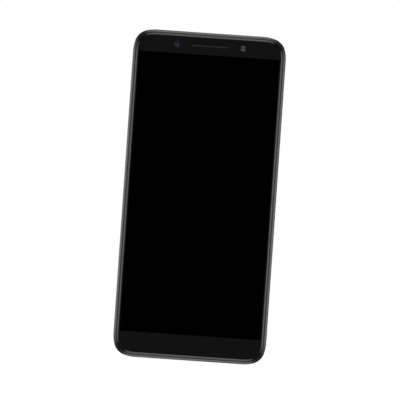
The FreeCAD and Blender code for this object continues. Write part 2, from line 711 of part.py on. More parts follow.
def headphone_jack():
    """A moulded socket; its bore lines up with the hole of the frame."""
    back = HEIGHT - JACK_LENGTH - JACK_END + FIT
    body = block((JACK_X - JACK_HALF, JACK_X + JACK_HALF), (back, HEIGHT - FRAME_WALL),
                 (PORT_DEPTH - JACK_BODY / 2, PORT_DEPTH + JACK_BODY / 2), JACK_CORNER)
    body = body.common(slab(FRAME_WALL + SEAT, (GLASS, INNER_BACK)))
    return body.cut(edge_hole(JACK_X, HEIGHT - JACK_LENGTH, JACK_BORE, JACK_LENGTH))


def shield_front():
    at = (SHIELD_X, MAIN_BOTTOM + FRONT_SHIELD_UP)
    return can(at, *FRONT_SHIELD, BOARD_FRONT - CAN_HEIGHT, BOARD_FRONT)


def shield_back():
    return can((BACK_SHIELD_X, MAIN_BOTTOM + BACK_SHIELD_UP), *BACK_SHIELD, BACK_LID, BOARD_BACK)


def processor():
    at = (BACK_SHIELD_X + PROCESSOR_AT[0], MAIN_BOTTOM + PROCESSOR_AT[1])
    return tile(at, PROCESSOR, PROCESSOR, (BOARD_BACK, BOARD_BACK + CHIP_HEIGHT), CHIP_CORNER)


def thermal_pad():
    at = (BACK_SHIELD_X + PROCESSOR_AT[0], MAIN_BOTTOM + PROCESSOR_AT[1])
    return tile(at, PAD_SIZE, PAD_SIZE, (BOARD_BACK + CHIP_HEIGHT, BACK_LID - CAN_WALL), PAD_CORNER)


def board_chips():
    """Memory, power and radio chips under the two lids."""
    storage = (BACK_SHIELD_X + STORAGE_AT[0], MAIN_BOTTOM + STORAGE_AT[1])
    chips = [tile(storage, *STORAGE, (BOARD_BACK, BOARD_BACK + CHIP_HEIGHT), CHIP_CORNER)]
    for x, z, width, height in FRONT_CHIPS:
        at = (SHIELD_X + x, MAIN_BOTTOM + z)
        chips.append(tile(at, width, height, (BOARD_FRONT - CHIP_HEIGHT, BOARD_FRONT), CHIP_CORNER))
    return Part.makeCompound(chips)


def connector_places():
    """The sockets of the battery lead, the long flex and the camera on the main board, and two below."""
    return {"battery": (BATTERY_LEAD_X, MAIN_BOTTOM + PLUG_UP), "main": (FLEX_X, MAIN_BOTTOM + PLUG_UP),
            "camera": (CAMERA_X, CAMERA_AT[1] - CAMERA_SIZE / 2 - CAMERA_PLUG_DROP),
            "lower": (FLEX_X, SUB_TOP - PLUG_DOWN)}


def board_connectors():
    width, height = PLUG_SIZE
    depths = (BOARD_BACK, BOARD_BACK + PLUG)
    solids = [tile(at, width, height, depths, CHIP_CORNER) for at in connector_places().values()]
    at = (sum(DISPLAY_FLEX) / 2, DISPLAY_SLOT[0] + 2 * DISPLAY_STEP)
    solids.append(tile(at, width, height, (BOARD_FRONT - PLUG - 2 * SEAT, BOARD_FRONT), CHIP_CORNER))
    return Part.makeCompound(solids)


def board_cover():
    """A moulded bracket that carries the aerials and presses the boards and plugs down."""
    side = HALF - CORE_INSET
    sheet = block((-side, side), (MAIN_BOTTOM + COVER_FOOT, HEIGHT - CORE_INSET), (COVER_FRONT, COVER_BACK))
    sheet = sheet.common(slab(CORE_INSET, (COVER_FRONT, COVER_BACK)))
    towers = [disc(at, (BOARD_BACK, COVER_FRONT), SCREW_HEAD + TOWER_WALL) for at in TOP_SCREWS[:-1]]
    x, z = TOP_SCREWS[-1]
    towers.append(block((x - COVER_TAB, x + COVER_TAB), (z - COVER_TAB, MAIN_BOTTOM + COVER_TAB_TOP),
                        (BOARD_BACK, COVER_BACK), BOARD_GAP))
    towers.append(block((JACK_X - JACK_PRESS, JACK_X + JACK_PRESS),
                        (HEIGHT - JACK_LENGTH, HEIGHT - 2 * CORE_INSET),
                        (PORT_DEPTH + JACK_BODY / 2 + SEAT, COVER_FRONT)))
    through = (BOARD_BACK, COVER_BACK)
    room = CAMERA_SIZE + 2 * COVER_ROOM[0]
    cuts = [tile(CAMERA_AT, room, room, through, HOLE_CORNER),
            disc(FLASH_AT, through, FLASH_RADIUS + COVER_ROOM[1]),
            disc(FINGER_AT, through, FINGER_RADIUS + COVER_ROOM[2])]
    return join(sheet, *towers).cut(cuts + screw_seats(TOP_SCREWS, BOARD_BACK))


# ---- Front row

def earpiece_mesh():
    gap = 2 * SEAT
    start = place(0, ROW_Z, MESH_SINK)
    return pill(start, ACROSS, EARPIECE_SLOT - gap, EARPIECE_SLOT_HEIGHT - gap, BACK * MESH)


def earpiece_gasket():
    """A foam collar from the slot in the glass to the small loudspeaker."""
    start, through = place(0, ROW_Z, GLASS), BACK * GASKET
    collar = pill(start, ACROSS, EARPIECE_SLOT + GASKET_BORDER[0], EARPIECE_SLOT_HEIGHT + GASKET_BORDER[1],
                  through)
    return collar.cut(pill(start, ACROSS, EARPIECE_SLOT - GASKET_DUCT, EARPIECE_SLOT_HEIGHT, through))


def earpiece():
    front = GLASS + GASKET
    body = tile((0, ROW_Z), EARPIECE_WIDTH, EARPIECE_HEIGHT, (front, front + EARPIECE_THICKNESS),
                EARPIECE_CORNER)
    width, height = EARPIECE_WIDTH - 2 * EARPIECE_BORDER, EARPIECE_HEIGHT - 2 * EARPIECE_BORDER
    return body.cut(tile((0, ROW_Z), width, height, (front, front + EARPIECE_DISH), EARPIECE_CORNER))


def front_camera():
    at = (FRONT_CAMERA_X, ROW_Z)
    nose = GLASS + FRONT_CAMERA_NOSE
    base = tile(at, FRONT_CAMERA_SIZE, FRONT_CAMERA_SIZE, (nose, BOARD_FRONT - SEAT), 2 * CHIP_CORNER)
    barrel = disc(at, (GLASS + SEAT, nose), FRONT_CAMERA_BARREL)
    hollow = disc(at, (GLASS + SEAT, GLASS + FRONT_LENS[1]), FRONT_CAMERA_BARREL - FRONT_CAMERA_WALL)
    return join(base, barrel).cut(hollow)


def lens(at, depths, radius, bulge):
    """A short glass disc whose outer face is part of a ball; bulge is below 0 when it faces the front."""
    ball = (radius * radius + bulge * bulge) / (2 * abs(bulge))
    middle = depths[0] + ball if bulge < 0 else depths[1] - ball
    return disc(at, depths, radius).common(Part.makeSphere(ball, place(at[0], at[1], middle)))


def front_camera_lens():
    depths = (GLASS + FRONT_LENS[0], GLASS + FRONT_LENS[1])
    return lens((FRONT_CAMERA_X, ROW_Z), depths, FRONT_CAMERA_BARREL - FRONT_CAMERA_WALL, -LENS_BULGE)


def proximity_sensor():
    """Emitter and receiver one above the other, in one housing that stands on the board."""
    at = (SENSOR_X, ROW_Z)
    body = tile(at, SENSOR_WIDTH, SENSOR_HEIGHT, (GLASS + SENSOR_DROP, BOARD_FRONT - SEAT), 2 * CHIP_CORNER)
    width, height, corner = SENSOR_EYE
    eyes = []
    for way in (-1, 1):
        eye = (SENSOR_X, ROW_Z + way * SENSOR_PITCH / 2)
        eyes.append(tile(eye, width, height, (GLASS + SEAT, GLASS + SENSOR_LENS), corner))
    return join(body, *eyes)


# ---- Rear camera, flash, fingerprint sensor

def camera_housing():
    body = tile(CAMERA_AT, CAMERA_SIZE, CAMERA_SIZE, (PLATE_BACK + SEAT, CAMERA_TOP), CAMERA_CORNER)
    return body.cut(disc(CAMERA_AT, (CAMERA_FLOOR - CAMERA_PLAY, CAMERA_TOP), CAMERA_BARREL + CAMERA_PLAY))


def camera_barrel():
    """The lens barrel that the focus drive moves; its nose stands proud of the housing."""
    back = CAMERA_FLOOR + CAMERA_BARREL_LENGTH
    body = disc(CAMERA_AT, (CAMERA_FLOOR, back), CAMERA_BARREL).cut(
        disc(CAMERA_AT, (back - CAMERA_HOLLOW, back), CAMERA_LENS))
    rim = [edge for edge in body.Edges if abs(edge.CenterOfMass.y - place(0, 0, back).y) < TINY]
    return body.makeChamfer(CAMERA_NOSE, rim)


def camera_lens():
    back = CAMERA_FLOOR + CAMERA_BARREL_LENGTH
    return lens(CAMERA_AT, (back - CAMERA_HOLLOW, back - CAMERA_BULGE[0]), CAMERA_LENS, CAMERA_BULGE[1])


def camera_flex():
    at = connector_places()["camera"]
    side = CAMERA_AT[1] - CAMERA_SIZE / 2
    level = BOARD_BACK + PLUG + FLEX / 2
    xs = (CAMERA_X - CAMERA_FLEX_HALF, CAMERA_X + CAMERA_FLEX_HALF)
    return ribbon(xs, [(side, level), (at[1] - PLUG_GRIP, level)], FLEX)


def camera_ring():
    return tube(CAMERA_AT, (INNER_BACK, THICKNESS), CAMERA_RING, CAMERA_RING - CAMERA_RING_WALL).cut(
        Part.makeCone(CAMERA_RING - CAMERA_RING_WALL, CAMERA_RING - RING_BEVEL[0], RING_BEVEL[1],
                      place(CAMERA_AT[0], CAMERA_AT[1], THICKNESS - RING_BEVEL[1]), BACK))


def camera_window():
    front = INNER_BACK + 2 * SEAT
    return disc(CAMERA_AT, (front, front + WINDOW), CAMERA_RING - CAMERA_RING_WALL)


def flash_led():
    (base, half), (lamp, height) = FLASH_BASE, FLASH_LAMP
    top = COVER_FRONT + half
    return join(tile(FLASH_AT, base, base, (COVER_FRONT - half, top), CHIP_CORNER),
                tile(FLASH_AT, lamp, lamp, (top, top + height), CHIP_CORNER))


def flash_lens():
    return lens(FLASH_AT, (INNER_BACK + SEAT, THICKNESS), FLASH_RADIUS, FLASH_BULGE)


def fingerprint_sensor():
    back = THICKNESS - FINGER_SINK
    wider, thick = FINGER_FLANGE
    return join(disc(FINGER_AT, (INNER_BACK - thick, INNER_BACK), FINGER_RADIUS + wider),
                disc(FINGER_AT, (INNER_BACK, back), FINGER_RADIUS))


def fingerprint_ring():
    inner = FINGER_RADIUS + SEAT
    body = tube(FINGER_AT, (INNER_BACK, THICKNESS), inner + FINGER_RING_WALL, inner)
    return body.cut(Part.makeCone(inner, inner + FINGER_RING_WALL * FINGER_BEVEL, FINGER_SINK,
                                  place(FINGER_AT[0], FINGER_AT[1], THICKNESS - FINGER_SINK), BACK))


# ---- Battery

def battery():
    depths = (PLATE_BACK + BATTERY_TAPE, BATTERY_BACK)
    box = block((-BATTERY_X, BATTERY_X), (BATTERY_BOTTOM, BATTERY_TOP), depths)
    return box.makeFillet(BATTERY_ROUND, edges_along(box, UP))


def battery_tape():
    height = (BATTERY_TOP - BATTERY_BOTTOM) * BATTERY_TAPE_SHARE
    middle = (BATTERY_TOP + BATTERY_BOTTOM) / 2
    return Part.makeCompound([tile((way * BATTERY_X / 2, middle), BATTERY_TAPE_WIDTH, height,
                                   (PLATE_BACK, PLATE_BACK + BATTERY_TAPE)) for way in (-1, 1)])


def battery_board():
    side = BATTERY_X - BATTERY_BOARD_SIDE
    depths = (BOARD_FRONT - BATTERY_BOARD_DEEP[0], BOARD_BACK + BATTERY_BOARD_DEEP[1])
    return block((-side, side), (BATTERY_TOP, BATTERY_TOP + BATTERY_BOARD), depths)


def battery_lead():
    level = BOARD_BACK + PLUG + FLEX / 2
    at = connector_places()["battery"]
    near, far, rise = LEAD_STEP
    path = [(BATTERY_TOP + near, level - rise), (BATTERY_TOP + far, level), (at[1] + PLUG_GRIP, level)]
    return ribbon((at[0] - LEAD_HALF, at[0] + LEAD_HALF), path, FLEX)


# ---- Lower electronics

def sub_board():
    sheet = block((-BOARD_X, SUB_BOARD_RIGHT), (SUB_BOARD_BOTTOM, SUB_TOP), (BOARD_FRONT, BOARD_BACK))
    depths = (BOARD_FRONT, BOARD_BACK)
    cuts = screw_holes(BOTTOM_SCREWS, depths)
    half = USB_WIDTH / 2 + USB_SPACE[0]
    cuts.append(block((-half, half), (0, USB_LENGTH + USB_SPACE[1]), depths))
    cuts.append(disc((MOTOR_X, MOTOR_Z), depths, MOTOR_RADIUS + MOTOR_PLAY))
    return sheet.cut(cuts).common(slab(FRAME_WALL + BOARD_GAP, depths))


def usb_port():
    """A drawn steel shell, closed at the back, whose mouth lies in the frame."""
    shell = pill(place(0, USB_MOUTH, PORT_DEPTH), ACROSS, USB_WIDTH, USB_HEIGHT, UP * USB_LENGTH)
    return shell.cut(usb_bore(USB_MOUTH, USB_LENGTH - USB_WALL))


def usb_bore(z, length):
    """The inside of the shell over a stretch of its length."""
    wall = 2 * USB_WALL
    return pill(place(0, z, PORT_DEPTH), ACROSS, USB_WIDTH - wall, USB_HEIGHT - wall, UP * length)


def usb_tongue():
    """The contact blade, standing on the plug of plastic that closes the shell."""
    base = USB_MOUTH + USB_LENGTH - USB_WALL - USB_FOOT
    width, half = USB_TONGUE[0] / 2, USB_TONGUE[1] / 2
    blade = block((-width, width), (USB_MOUTH + USB_SINK, base), (PORT_DEPTH - half, PORT_DEPTH + half))
    return join(usb_bore(base, USB_FOOT), blade)


def speaker_box():
    """The sealed box of the loudspeaker, with a spout to the holes in the bottom edge."""
    side = HALF - CORE_INSET
    body = block((SPEAKER_LEFT, side), (CORE_INSET, SUB_TOP), (PLATE_BACK + SEAT, COVER_BACK))
    body = body.common(slab(CORE_INSET, (GLASS, COVER_BACK)))
    spout = speaker_slot(SPEAKER_BORDER[0], (FRAME_WALL + MESH_SHEET + SEAT, CORE_INSET + SPEAKER_BORDER[1]))
    cuts = [speaker_slot(SPEAKER_BORDER[1], (FRAME_WALL, CORE_INSET + SPEAKER_DUCT))]
    cuts += [disc(at, (PLATE_BACK, BOARD_FRONT + SEAT), BOSS_RADIUS + 3 * SEAT) for at in SPEAKER_SCREWS]
    return join(body, spout).cut(cuts + screw_seats(SPEAKER_SCREWS, PLATE_BACK))


def speaker_slot(border, zs):
    """A box that reaches past the row of loudspeaker holes by a border."""
    row, half = speaker_row(), SPEAKER_HALF + border
    return block((row[0] - border, row[-1] + border), zs, (PORT_DEPTH - half, PORT_DEPTH + half))


def speaker_mesh():
    return speaker_slot(SPEAKER_BORDER[0], (FRAME_WALL, FRAME_WALL + MESH_SHEET))


def microphones():
    """One behind the hole in the bottom edge, one behind the hole in the top edge."""
    width, height, thick = MICROPHONE
    places = (MICROPHONE_X, SUB_BOARD_BOTTOM + MICROPHONE_UP), (TOP_MICROPHONE_X, MAIN_TOP - MICROPHONE_DOWN)
    return Part.makeCompound([tile(at, width, height, (BOARD_FRONT - thick, BOARD_FRONT), CHIP_CORNER)
                              for at in places])


def motor_case():
    """The round can of the vibration motor with its fixed pin."""
    at = (MOTOR_X, MOTOR_Z)
    front, back = MOTOR_FRONT, MOTOR_FRONT + MOTOR_HEIGHT
    shell = disc(at, (front, back), MOTOR_RADIUS).cut(
        disc(at, (front + MOTOR_WALL, back - MOTOR_WALL), MOTOR_RADIUS - MOTOR_WALL))
    return join(shell, disc(at, (front + MOTOR_WALL / 2, back - MOTOR_WALL / 2), MOTOR_PIN))


def motor_rotor():
    """A half-round weight that spins on the pin."""
    at = (MOTOR_X, MOTOR_Z)
    play = MOTOR_WALL + MOTOR_PLAY
    depths = (MOTOR_FRONT + play, MOTOR_FRONT + MOTOR_HEIGHT - play)
    outer = MOTOR_RADIUS - play
    upper = block((MOTOR_X - outer, MOTOR_X + outer), (MOTOR_Z, MOTOR_Z + outer), depths)
    half = disc(at, depths, outer).cut(upper)
    hub = disc(at, depths, MOTOR_HUB * MOTOR_PIN)
    return join(half, hub).cut(disc(at, depths, MOTOR_PIN + MOTOR_PIN_PLAY))


def bottom_cover():
    side = HALF - CORE_INSET
    sheet = block((-side, SUB_BOARD_RIGHT), (CORE_INSET, SUB_TOP - 2 * PLUG_DOWN), (COVER_FRONT, COVER_BACK))
    sheet = sheet.common(slab(CORE_INSET, (COVER_FRONT, COVER_BACK)))
    towers = [disc(at, (BOARD_BACK, COVER_FRONT), SCREW_HEAD + TOWER_WALL) for at in BOTTOM_SCREWS]
    return join(sheet, *towers).cut(screw_seats(BOTTOM_SCREWS, BOARD_BACK))


def main_flex():
    """The long flat cable over the battery, from the main board to the lower board."""
    places = connector_places()
    low, high = places["lower"][1] - PLUG_GRIP, places["main"][1] + PLUG_GRIP
    start, rise, end = FLEX_STEP
    level, back = BOARD_BACK + PLUG + FLEX / 2, BATTERY_BACK + SEAT + FLEX / 2
    path = [(low, level), (SUB_TOP - start, level), (BATTERY_BOTTOM - rise, back),
            (BATTERY_TOP + rise, back), (MAIN_BOTTOM + end, level), (high, level)]
    return ribbon((FLEX_X - MAIN_FLEX_HALF, FLEX_X + MAIN_FLEX_HALF), path, FLEX)


def coax_cable():
    """The aerial lead beside the battery, with a round plug at each end."""
    x, near, bend = -BATTERY_X - COAX_OUT, -BATTERY_X + COAX_IN, COAX_BEND
    low, high = SUB_TOP - COAX_DROP, MAIN_BOTTOM + COAX_DROP
    depth = BOARD_BACK + COAX_RADIUS
    quarter = bend * (1 - math.cos(math.pi / 4))
    path = [Part.makeLine(place(near, low, depth), place(x + bend, low, depth)),
            Part.Arc(place(x + bend, low, depth), place(x + quarter, low + quarter, depth),
                     place(x, low + bend, depth)).toShape(),
            Part.makeLine(place(x, low + bend, depth), place(x, high - bend, depth)),
            Part.Arc(place(x, high - bend, depth), place(x + quarter, high - quarter, depth),
                     place(x + bend, high, depth)).toShape(),
            Part.makeLine(place(x + bend, high, depth), place(near, high, depth))]
    section = Part.Wire(Part.makeCircle(COAX_RADIUS, place(near, low, depth), ACROSS))
    lead = Part.Wire(path).makePipeShell([section], True, False, 0)
    radius, height = COAX_PLUG
    return join(lead, *[disc((near, z), (BOARD_BACK, BOARD_BACK + height), radius) for z in (low, high)])


# ---- Keys

def power_key():
    """A round-ended cap that slides in the wall, with a flange that keeps it in."""
    cap = pill(place(HALF - KEY_SINK, POWER_AT, KEY_DEPTH), UP, POWER_LENGTH, KEY_HEIGHT,
               ACROSS * -(FRAME_WALL + SEAT - KEY_SINK))
    cap = round_face(cap)
    flange = pill(place(WALL_X - SEAT, POWER_AT, KEY_DEPTH), UP, POWER_LENGTH + POWER_FLANGE[0],
                  KEY_HEIGHT + POWER_FLANGE[1], ACROSS * -KEY_FLANGE)
    return join(cap, flange)


def round_face(cap):
    """Softens the outer rim of a key."""
    outer = HALF - KEY_SINK
    return cap.makeFillet(KEY_RIM, [edge for edge in cap.Edges if abs(edge.BoundBox.XMin - outer) < LOOSE])


def volume_key():
    """A rocker: it tips about its middle, and only its middle carries the flange."""
    cap = pill(place(HALF - KEY_SINK, VOLUME_AT, KEY_DEPTH), UP, VOLUME_LENGTH, KEY_HEIGHT,
               ACROSS * -(FRAME_WALL + ROCK_GAP - KEY_SINK))
    cap = round_face(cap)
    face = WALL_X - ROCK_GAP
    flange = pill(place(face, VOLUME_AT, KEY_DEPTH), UP, VOLUME_FLANGE, KEY_HEIGHT + POWER_FLANGE[1],
                  ACROSS * -KEY_FLANGE)
    studs = []
    for z in (VOLUME_AT - VOLUME_SWITCH, VOLUME_AT + VOLUME_SWITCH):
        studs.append(Part.makeCylinder(STUD_RADIUS, KEY_FLANGE, place(face, z, KEY_DEPTH), -ACROSS))
    return join(cap, flange, *studs)


def switch_places():
    """Height of each switch and the face that its key comes to rest on when pressed."""
    power = (POWER_AT, WALL_X - SEAT - KEY_FLANGE - POWER_TRAVEL - SWITCH_GAP)
    rocker = WALL_X - ROCK_GAP - KEY_FLANGE - POWER_TRAVEL - SWITCH_GAP
    return [power] + [(VOLUME_AT + way * VOLUME_SWITCH, rocker) for way in (-1, 1)]


def key_switches():
    solids = []
    (tall, deep), (radius, height) = SWITCH_HALF, SWITCH_DOME
    for z, face in switch_places():
        foot = face - height
        body = block((SWITCH_BACK, foot), (z - tall, z + tall), (KEY_DEPTH - deep, KEY_DEPTH + deep))
        dome = Part.makeCylinder(radius, height, place(foot, z, KEY_DEPTH), ACROSS)
        solids.append(join(body, dome))
    return Part.makeCompound(solids)


def key_flex():
    half = KEY_STRIP[0]
    return block((SWITCH_BACK - FLEX, SWITCH_BACK), KEY_SPAN, (KEY_DEPTH - half, KEY_DEPTH + half))


def key_bracket():
    """The steel strip behind the switches, with a foot on the plate."""
    back = SWITCH_BACK - FLEX
    return block((back - KEY_STRIP[2], back), KEY_SPAN, (PLATE_BACK, KEY_DEPTH + KEY_STRIP[1]))


# ---- Card tray

def tray_span():
    """The x limits of the tray blade."""
    return (-HALF + TRAY_HEAD_THICKNESS, -HALF + TRAY_HEAD_THICKNESS + TRAY_LENGTH)


def card_places():
    """Middle of the small card and of the memory card on the tray."""
    start = -HALF + TRAY_HEAD_THICKNESS + 2 * TRAY_RIM
    small = start + SIM[0] / 2
    return (small, TRAY_AT), (small + SIM[0] / 2 + TRAY_RIM / 2 + MEMORY[0] / 2, TRAY_AT)


def tray_depths():
    return (TRAY_DEPTH - TRAY / 2, TRAY_DEPTH + TRAY / 2)


def sim_tray():
    """A round-ended head in the wall and a blade with a pocket for each card."""
    head = pill(place(-HALF + KEY_SINK, TRAY_AT, TRAY_DEPTH), UP, TRAY_HEAD, TRAY_HEAD_HEIGHT,
                ACROSS * TRAY_HEAD_THICKNESS)
    depths = tray_depths()
    blade = block(tray_span(), (TRAY_AT - TRAY_WIDTH / 2, TRAY_AT + TRAY_WIDTH / 2), depths)
    pin = place(-HALF - OUTSIDE, TRAY_AT - TRAY_HEAD / 2 + PIN_UP, TRAY_DEPTH)
    cuts = [Part.makeCylinder(PIN_RADIUS, PIN_LENGTH, pin, ACROSS)]
    for at, card in zip(card_places(), (SIM, MEMORY)):
        cuts.append(tile(at, card[0] + 2 * FIT, card[1] + 2 * FIT, (depths[0], depths[0] + card[2])))
        cuts.append(tile(at, card[0] - 2 * CARD_LEDGE, card[1] - 2 * CARD_LEDGE, depths))
    return join(head, blade).cut(cuts)


def card(at, size):
    """A thin card with one corner cut off."""
    front = tray_depths()[0]
    plate = tile(at, size[0], size[1], (front, front + size[2]), CARD_CORNER)
    corner = place(at[0] + size[0] / 2, at[1] + size[1] / 2, front)
    cut = Part.Face(Part.makePolygon([corner, corner - ACROSS * CARD_CUT, corner - UP * CARD_CUT, corner]))
    return plate.cut(cut.extrude(BACK * size[2]))


def sim_reader():
    """A folded steel cover over the tray, on the front of the main board."""
    wall, past, beside, ahead = READER_GAP
    xs = (-WALL_X + wall, tray_span()[1] + past)
    half = TRAY_WIDTH / 2 + beside
    front = tray_depths()[0] - ahead
    shell = half + READER_WALL
    outer = block(xs, (TRAY_AT - shell, TRAY_AT + shell), (front - READER_WALL, BOARD_FRONT))
    depths = (front, BOARD_FRONT - SEAT / 2)
    return outer.cut(block((xs[0], xs[1] - READER_WALL), (TRAY_AT - half, TRAY_AT + half), depths))


# ---- Places shared by two or more of the pieces above

DISPLAY_FLEX = (-16.0, -8.0)
DISPLAY_SLOT = (16.0, 19.0)
SHIELD_X = SENSOR_X - 6.5
BACK_SHIELD_X = -8.0
FLEX_X = -8.0
BATTERY_LEAD_X = 6.0
CAMERA_TOP = COVER_BACK - CAMERA_PROUD
CAMERA_FLOOR = COVER_BACK - SEAT - FOCUS_TRAVEL - CAMERA_BARREL_LENGTH
USB_MOUTH = 0.35
MOTOR_FRONT = PLATE_BACK + SEAT
SWITCH_BACK = min(face for _, face in switch_places()) - SWITCH
KEY_SPAN = (POWER_AT - POWER_LENGTH / 2 - KEY_STRIP_FOOT, VOLUME_AT + VOLUME_LENGTH / 2)

PIECES = [
    cover_glass, glass_tape, touch_film, lcd_cell, display_driver, backlight, display_flex,
    frame, mid_plate, rear_cover, screws,
    main_board, headphone_jack, shield_front, shield_back, processor, thermal_pad, board_chips,
    board_connectors, board_cover,
    earpiece_mesh, earpiece_gasket, earpiece, front_camera, front_camera_lens, proximity_sensor,
    camera_housing, camera_barrel, camera_lens, camera_flex, camera_ring, camera_window,
    flash_led, flash_lens, fingerprint_sensor, fingerprint_ring,
    battery, battery_tape, battery_board, battery_lead,
    sub_board, usb_port, usb_tongue, speaker_box, speaker_mesh, microphones, motor_case, motor_rotor,
    bottom_cover, main_flex, coax_cable,
    power_key, volume_key, key_switches, key_flex, key_bracket,
    sim_tray, sim_reader,
]

os.makedirs("parts", exist_ok=True)
for piece in PIECES:
    piece().exportStep("parts/" + piece.__name__ + ".step")
for name, at, size in (("sim_card", card_places()[0], SIM), ("memory_card", card_places()[1], MEMORY)):
    card(at, size).exportStep("parts/" + name + ".step")
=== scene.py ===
import math
import random

import bmesh
import bpy
from mathutils import Matrix, Vector


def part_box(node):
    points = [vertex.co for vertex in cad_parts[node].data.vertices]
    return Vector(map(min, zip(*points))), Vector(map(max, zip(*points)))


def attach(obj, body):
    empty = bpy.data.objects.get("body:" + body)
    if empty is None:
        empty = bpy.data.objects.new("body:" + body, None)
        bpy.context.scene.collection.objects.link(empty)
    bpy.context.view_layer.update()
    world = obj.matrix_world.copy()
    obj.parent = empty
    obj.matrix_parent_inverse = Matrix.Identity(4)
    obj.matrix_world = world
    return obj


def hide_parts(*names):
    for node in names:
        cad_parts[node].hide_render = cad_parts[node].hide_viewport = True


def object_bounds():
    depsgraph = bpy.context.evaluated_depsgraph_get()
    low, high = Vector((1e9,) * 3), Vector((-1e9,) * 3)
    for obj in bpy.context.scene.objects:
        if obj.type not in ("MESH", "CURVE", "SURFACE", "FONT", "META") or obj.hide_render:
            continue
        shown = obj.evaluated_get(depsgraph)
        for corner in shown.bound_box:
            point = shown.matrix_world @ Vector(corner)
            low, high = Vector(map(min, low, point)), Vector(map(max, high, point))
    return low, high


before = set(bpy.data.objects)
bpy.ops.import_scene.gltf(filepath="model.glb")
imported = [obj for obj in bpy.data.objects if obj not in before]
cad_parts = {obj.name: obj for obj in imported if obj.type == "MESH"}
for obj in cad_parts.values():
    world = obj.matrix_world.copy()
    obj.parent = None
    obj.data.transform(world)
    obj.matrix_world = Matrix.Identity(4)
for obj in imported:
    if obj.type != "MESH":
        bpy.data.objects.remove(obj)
cad_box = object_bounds()


# ---- Chassis plate
# A sheet of magnesium alloy under the display, cast with ribs and threaded bosses.
# It is left bare with a fine matt skin and snaps into the moulded band.

MM = 0.001
TONES_AT = (0.42, 0.78)      # where a speckle's dark and light tone stand in its noise
CLOUD = 14                   # size of the slow change over a surface, in mm, and its share
CLOUD_SHARE = 0.2
LACQUER_ROUGH = 0.12


def blank(name):
    """A new material, its node tree and its shader."""
    material = bpy.data.materials.new(name)
    material.use_nodes = True
    return material, material.node_tree, material.node_tree.nodes["Principled BSDF"]


def reckon(tree, operation, *values):
    """A sum in a node tree: each value is a number or another node's output."""
    step = tree.nodes.new("ShaderNodeMath")
    step.operation = operation
    for socket, value in zip(step.inputs, values):
        if isinstance(value, (int, float)):
            socket.default_value = value
        else:
            tree.links.new(value, socket)
    return step.outputs[0]


def spread(tree, value, ends, span=(0, 1)):
    """Carries a value that runs over a span to between two ends."""
    change = tree.nodes.new("ShaderNodeMapRange")
    for name, number in zip(("From Min", "From Max", "To Min", "To Max"), (*span, *ends)):
        change.inputs[name].default_value = number
    tree.links.new(value, change.inputs["Value"])
    return change.outputs["Result"]


def places(tree):
    """Where a point lies on the phone, in metres."""
    return tree.nodes.new("ShaderNodeTexCoord").outputs["Object"]


def axes(tree, where):
    """The three numbers of a place."""
    split = tree.nodes.new("ShaderNodeSeparateXYZ")
    tree.links.new(where, split.inputs[0])
    return split.outputs


def noise(tree, where, size, detail=2):
    """A soft speckle whose grains are about size mm wide."""
    speckle = tree.nodes.new("ShaderNodeTexNoise")
    speckle.inputs["Scale"].default_value = 1 / (size * MM)
    speckle.inputs["Detail"].default_value = detail
    tree.links.new(where, speckle.inputs["Vector"])
    return speckle.outputs["Fac"]


def emboss(tree, shader, value, height):
    """Raises the surface by a height in mm where a value is high."""
    bump = tree.nodes.new("ShaderNodeBump")
    bump.inputs["Distance"].default_value = height * MM
    tree.links.new(value, bump.inputs["Height"])
    tree.links.new(bump.outputs["Normal"], shader.inputs["Normal"])


def finish(name, dark, light, grain, rough, metal=0.0, relief=0.0, stretch=(1, 1, 1), lacquer=0.0):
    """A surface whose tone, sheen and level vary finely.

    Grain is the speckle's size and relief its height, in mm."""
    material, tree, shader = blank(name)
    shader.inputs["Metallic"].default_value = metal
    shader.inputs["Coat Weight"].default_value = lacquer
    shader.inputs["Coat Roughness"].default_value = LACQUER_ROUGH
    drawn = tree.nodes.new("ShaderNodeMapping")
    drawn.inputs["Scale"].default_value = stretch
    tree.links.new(places(tree), drawn.inputs["Vector"])
    speckle = noise(tree, drawn.outputs["Vector"], grain, 4)
    both = reckon(tree, "MULTIPLY_ADD", noise(tree, places(tree), CLOUD), CLOUD_SHARE, speckle)
    tones = tree.nodes.new("ShaderNodeValToRGB")
    for stop, position, colour in zip(tones.color_ramp.elements, TONES_AT, (dark, light)):
        stop.position = position
        stop.color = (*colour, 1)
    tree.links.new(both, tones.inputs["Fac"])
    tree.links.new(tones.outputs["Color"], shader.inputs["Base Color"])
    tree.links.new(spread(tree, both, rough, TONES_AT), shader.inputs["Roughness"])
    if relief:
        emboss(tree, shader, speckle, relief)
    return material


def dress(material, *nodes):
    """Gives working pieces their finish."""
    for name in nodes:
        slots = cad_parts[name].data.materials
        slots.clear()
        slots.append(material)


cast_alloy = finish("cast_alloy", (0.20, 0.20, 0.21), (0.34, 0.34, 0.35), 0.35, (0.42, 0.6), 1.0, 0.004)
dress(cast_alloy, "mid_plate")


# ---- Moulded band
# The band round the sides is glass-filled nylon, sprayed black and cleared with a satin lacquer.
# Its rounded lip stands a third of a millimetre behind the glass and frames it.

BAND_SHINE = 0.62

satin_black = finish("satin_black", (0.0010, 0.0010, 0.0011), (0.0022, 0.0022, 0.0024), 0.09, (0.3, 0.35),
                     0.0, 0.0006)
satin_black.node_tree.nodes["Principled BSDF"].inputs["Specular IOR Level"].default_value = BAND_SHINE
dress(satin_black, "frame")


# ---- Screws
# Small pan-head steel screws with a blackened coat, driven into the bosses of the plate.
# The coat is rubbed through where the driver bites.

black_steel = finish("black_steel", (0.03, 0.03, 0.032), (0.16, 0.15, 0.14), 0.12, (0.25, 0.5), 1.0, 0.002)
dress(black_steel, "screws")


# ---- Battery
# A flat lithium pouch in silver laminate, its folded side seams under black tape.
# Two strips of stretch tape hold it to the plate, and a small protection board closes its top.

SEAM_TAPE = 2.2
HEAD_TAPE = 4
TAPE_BLACK = (0.02, 0.02, 0.022)


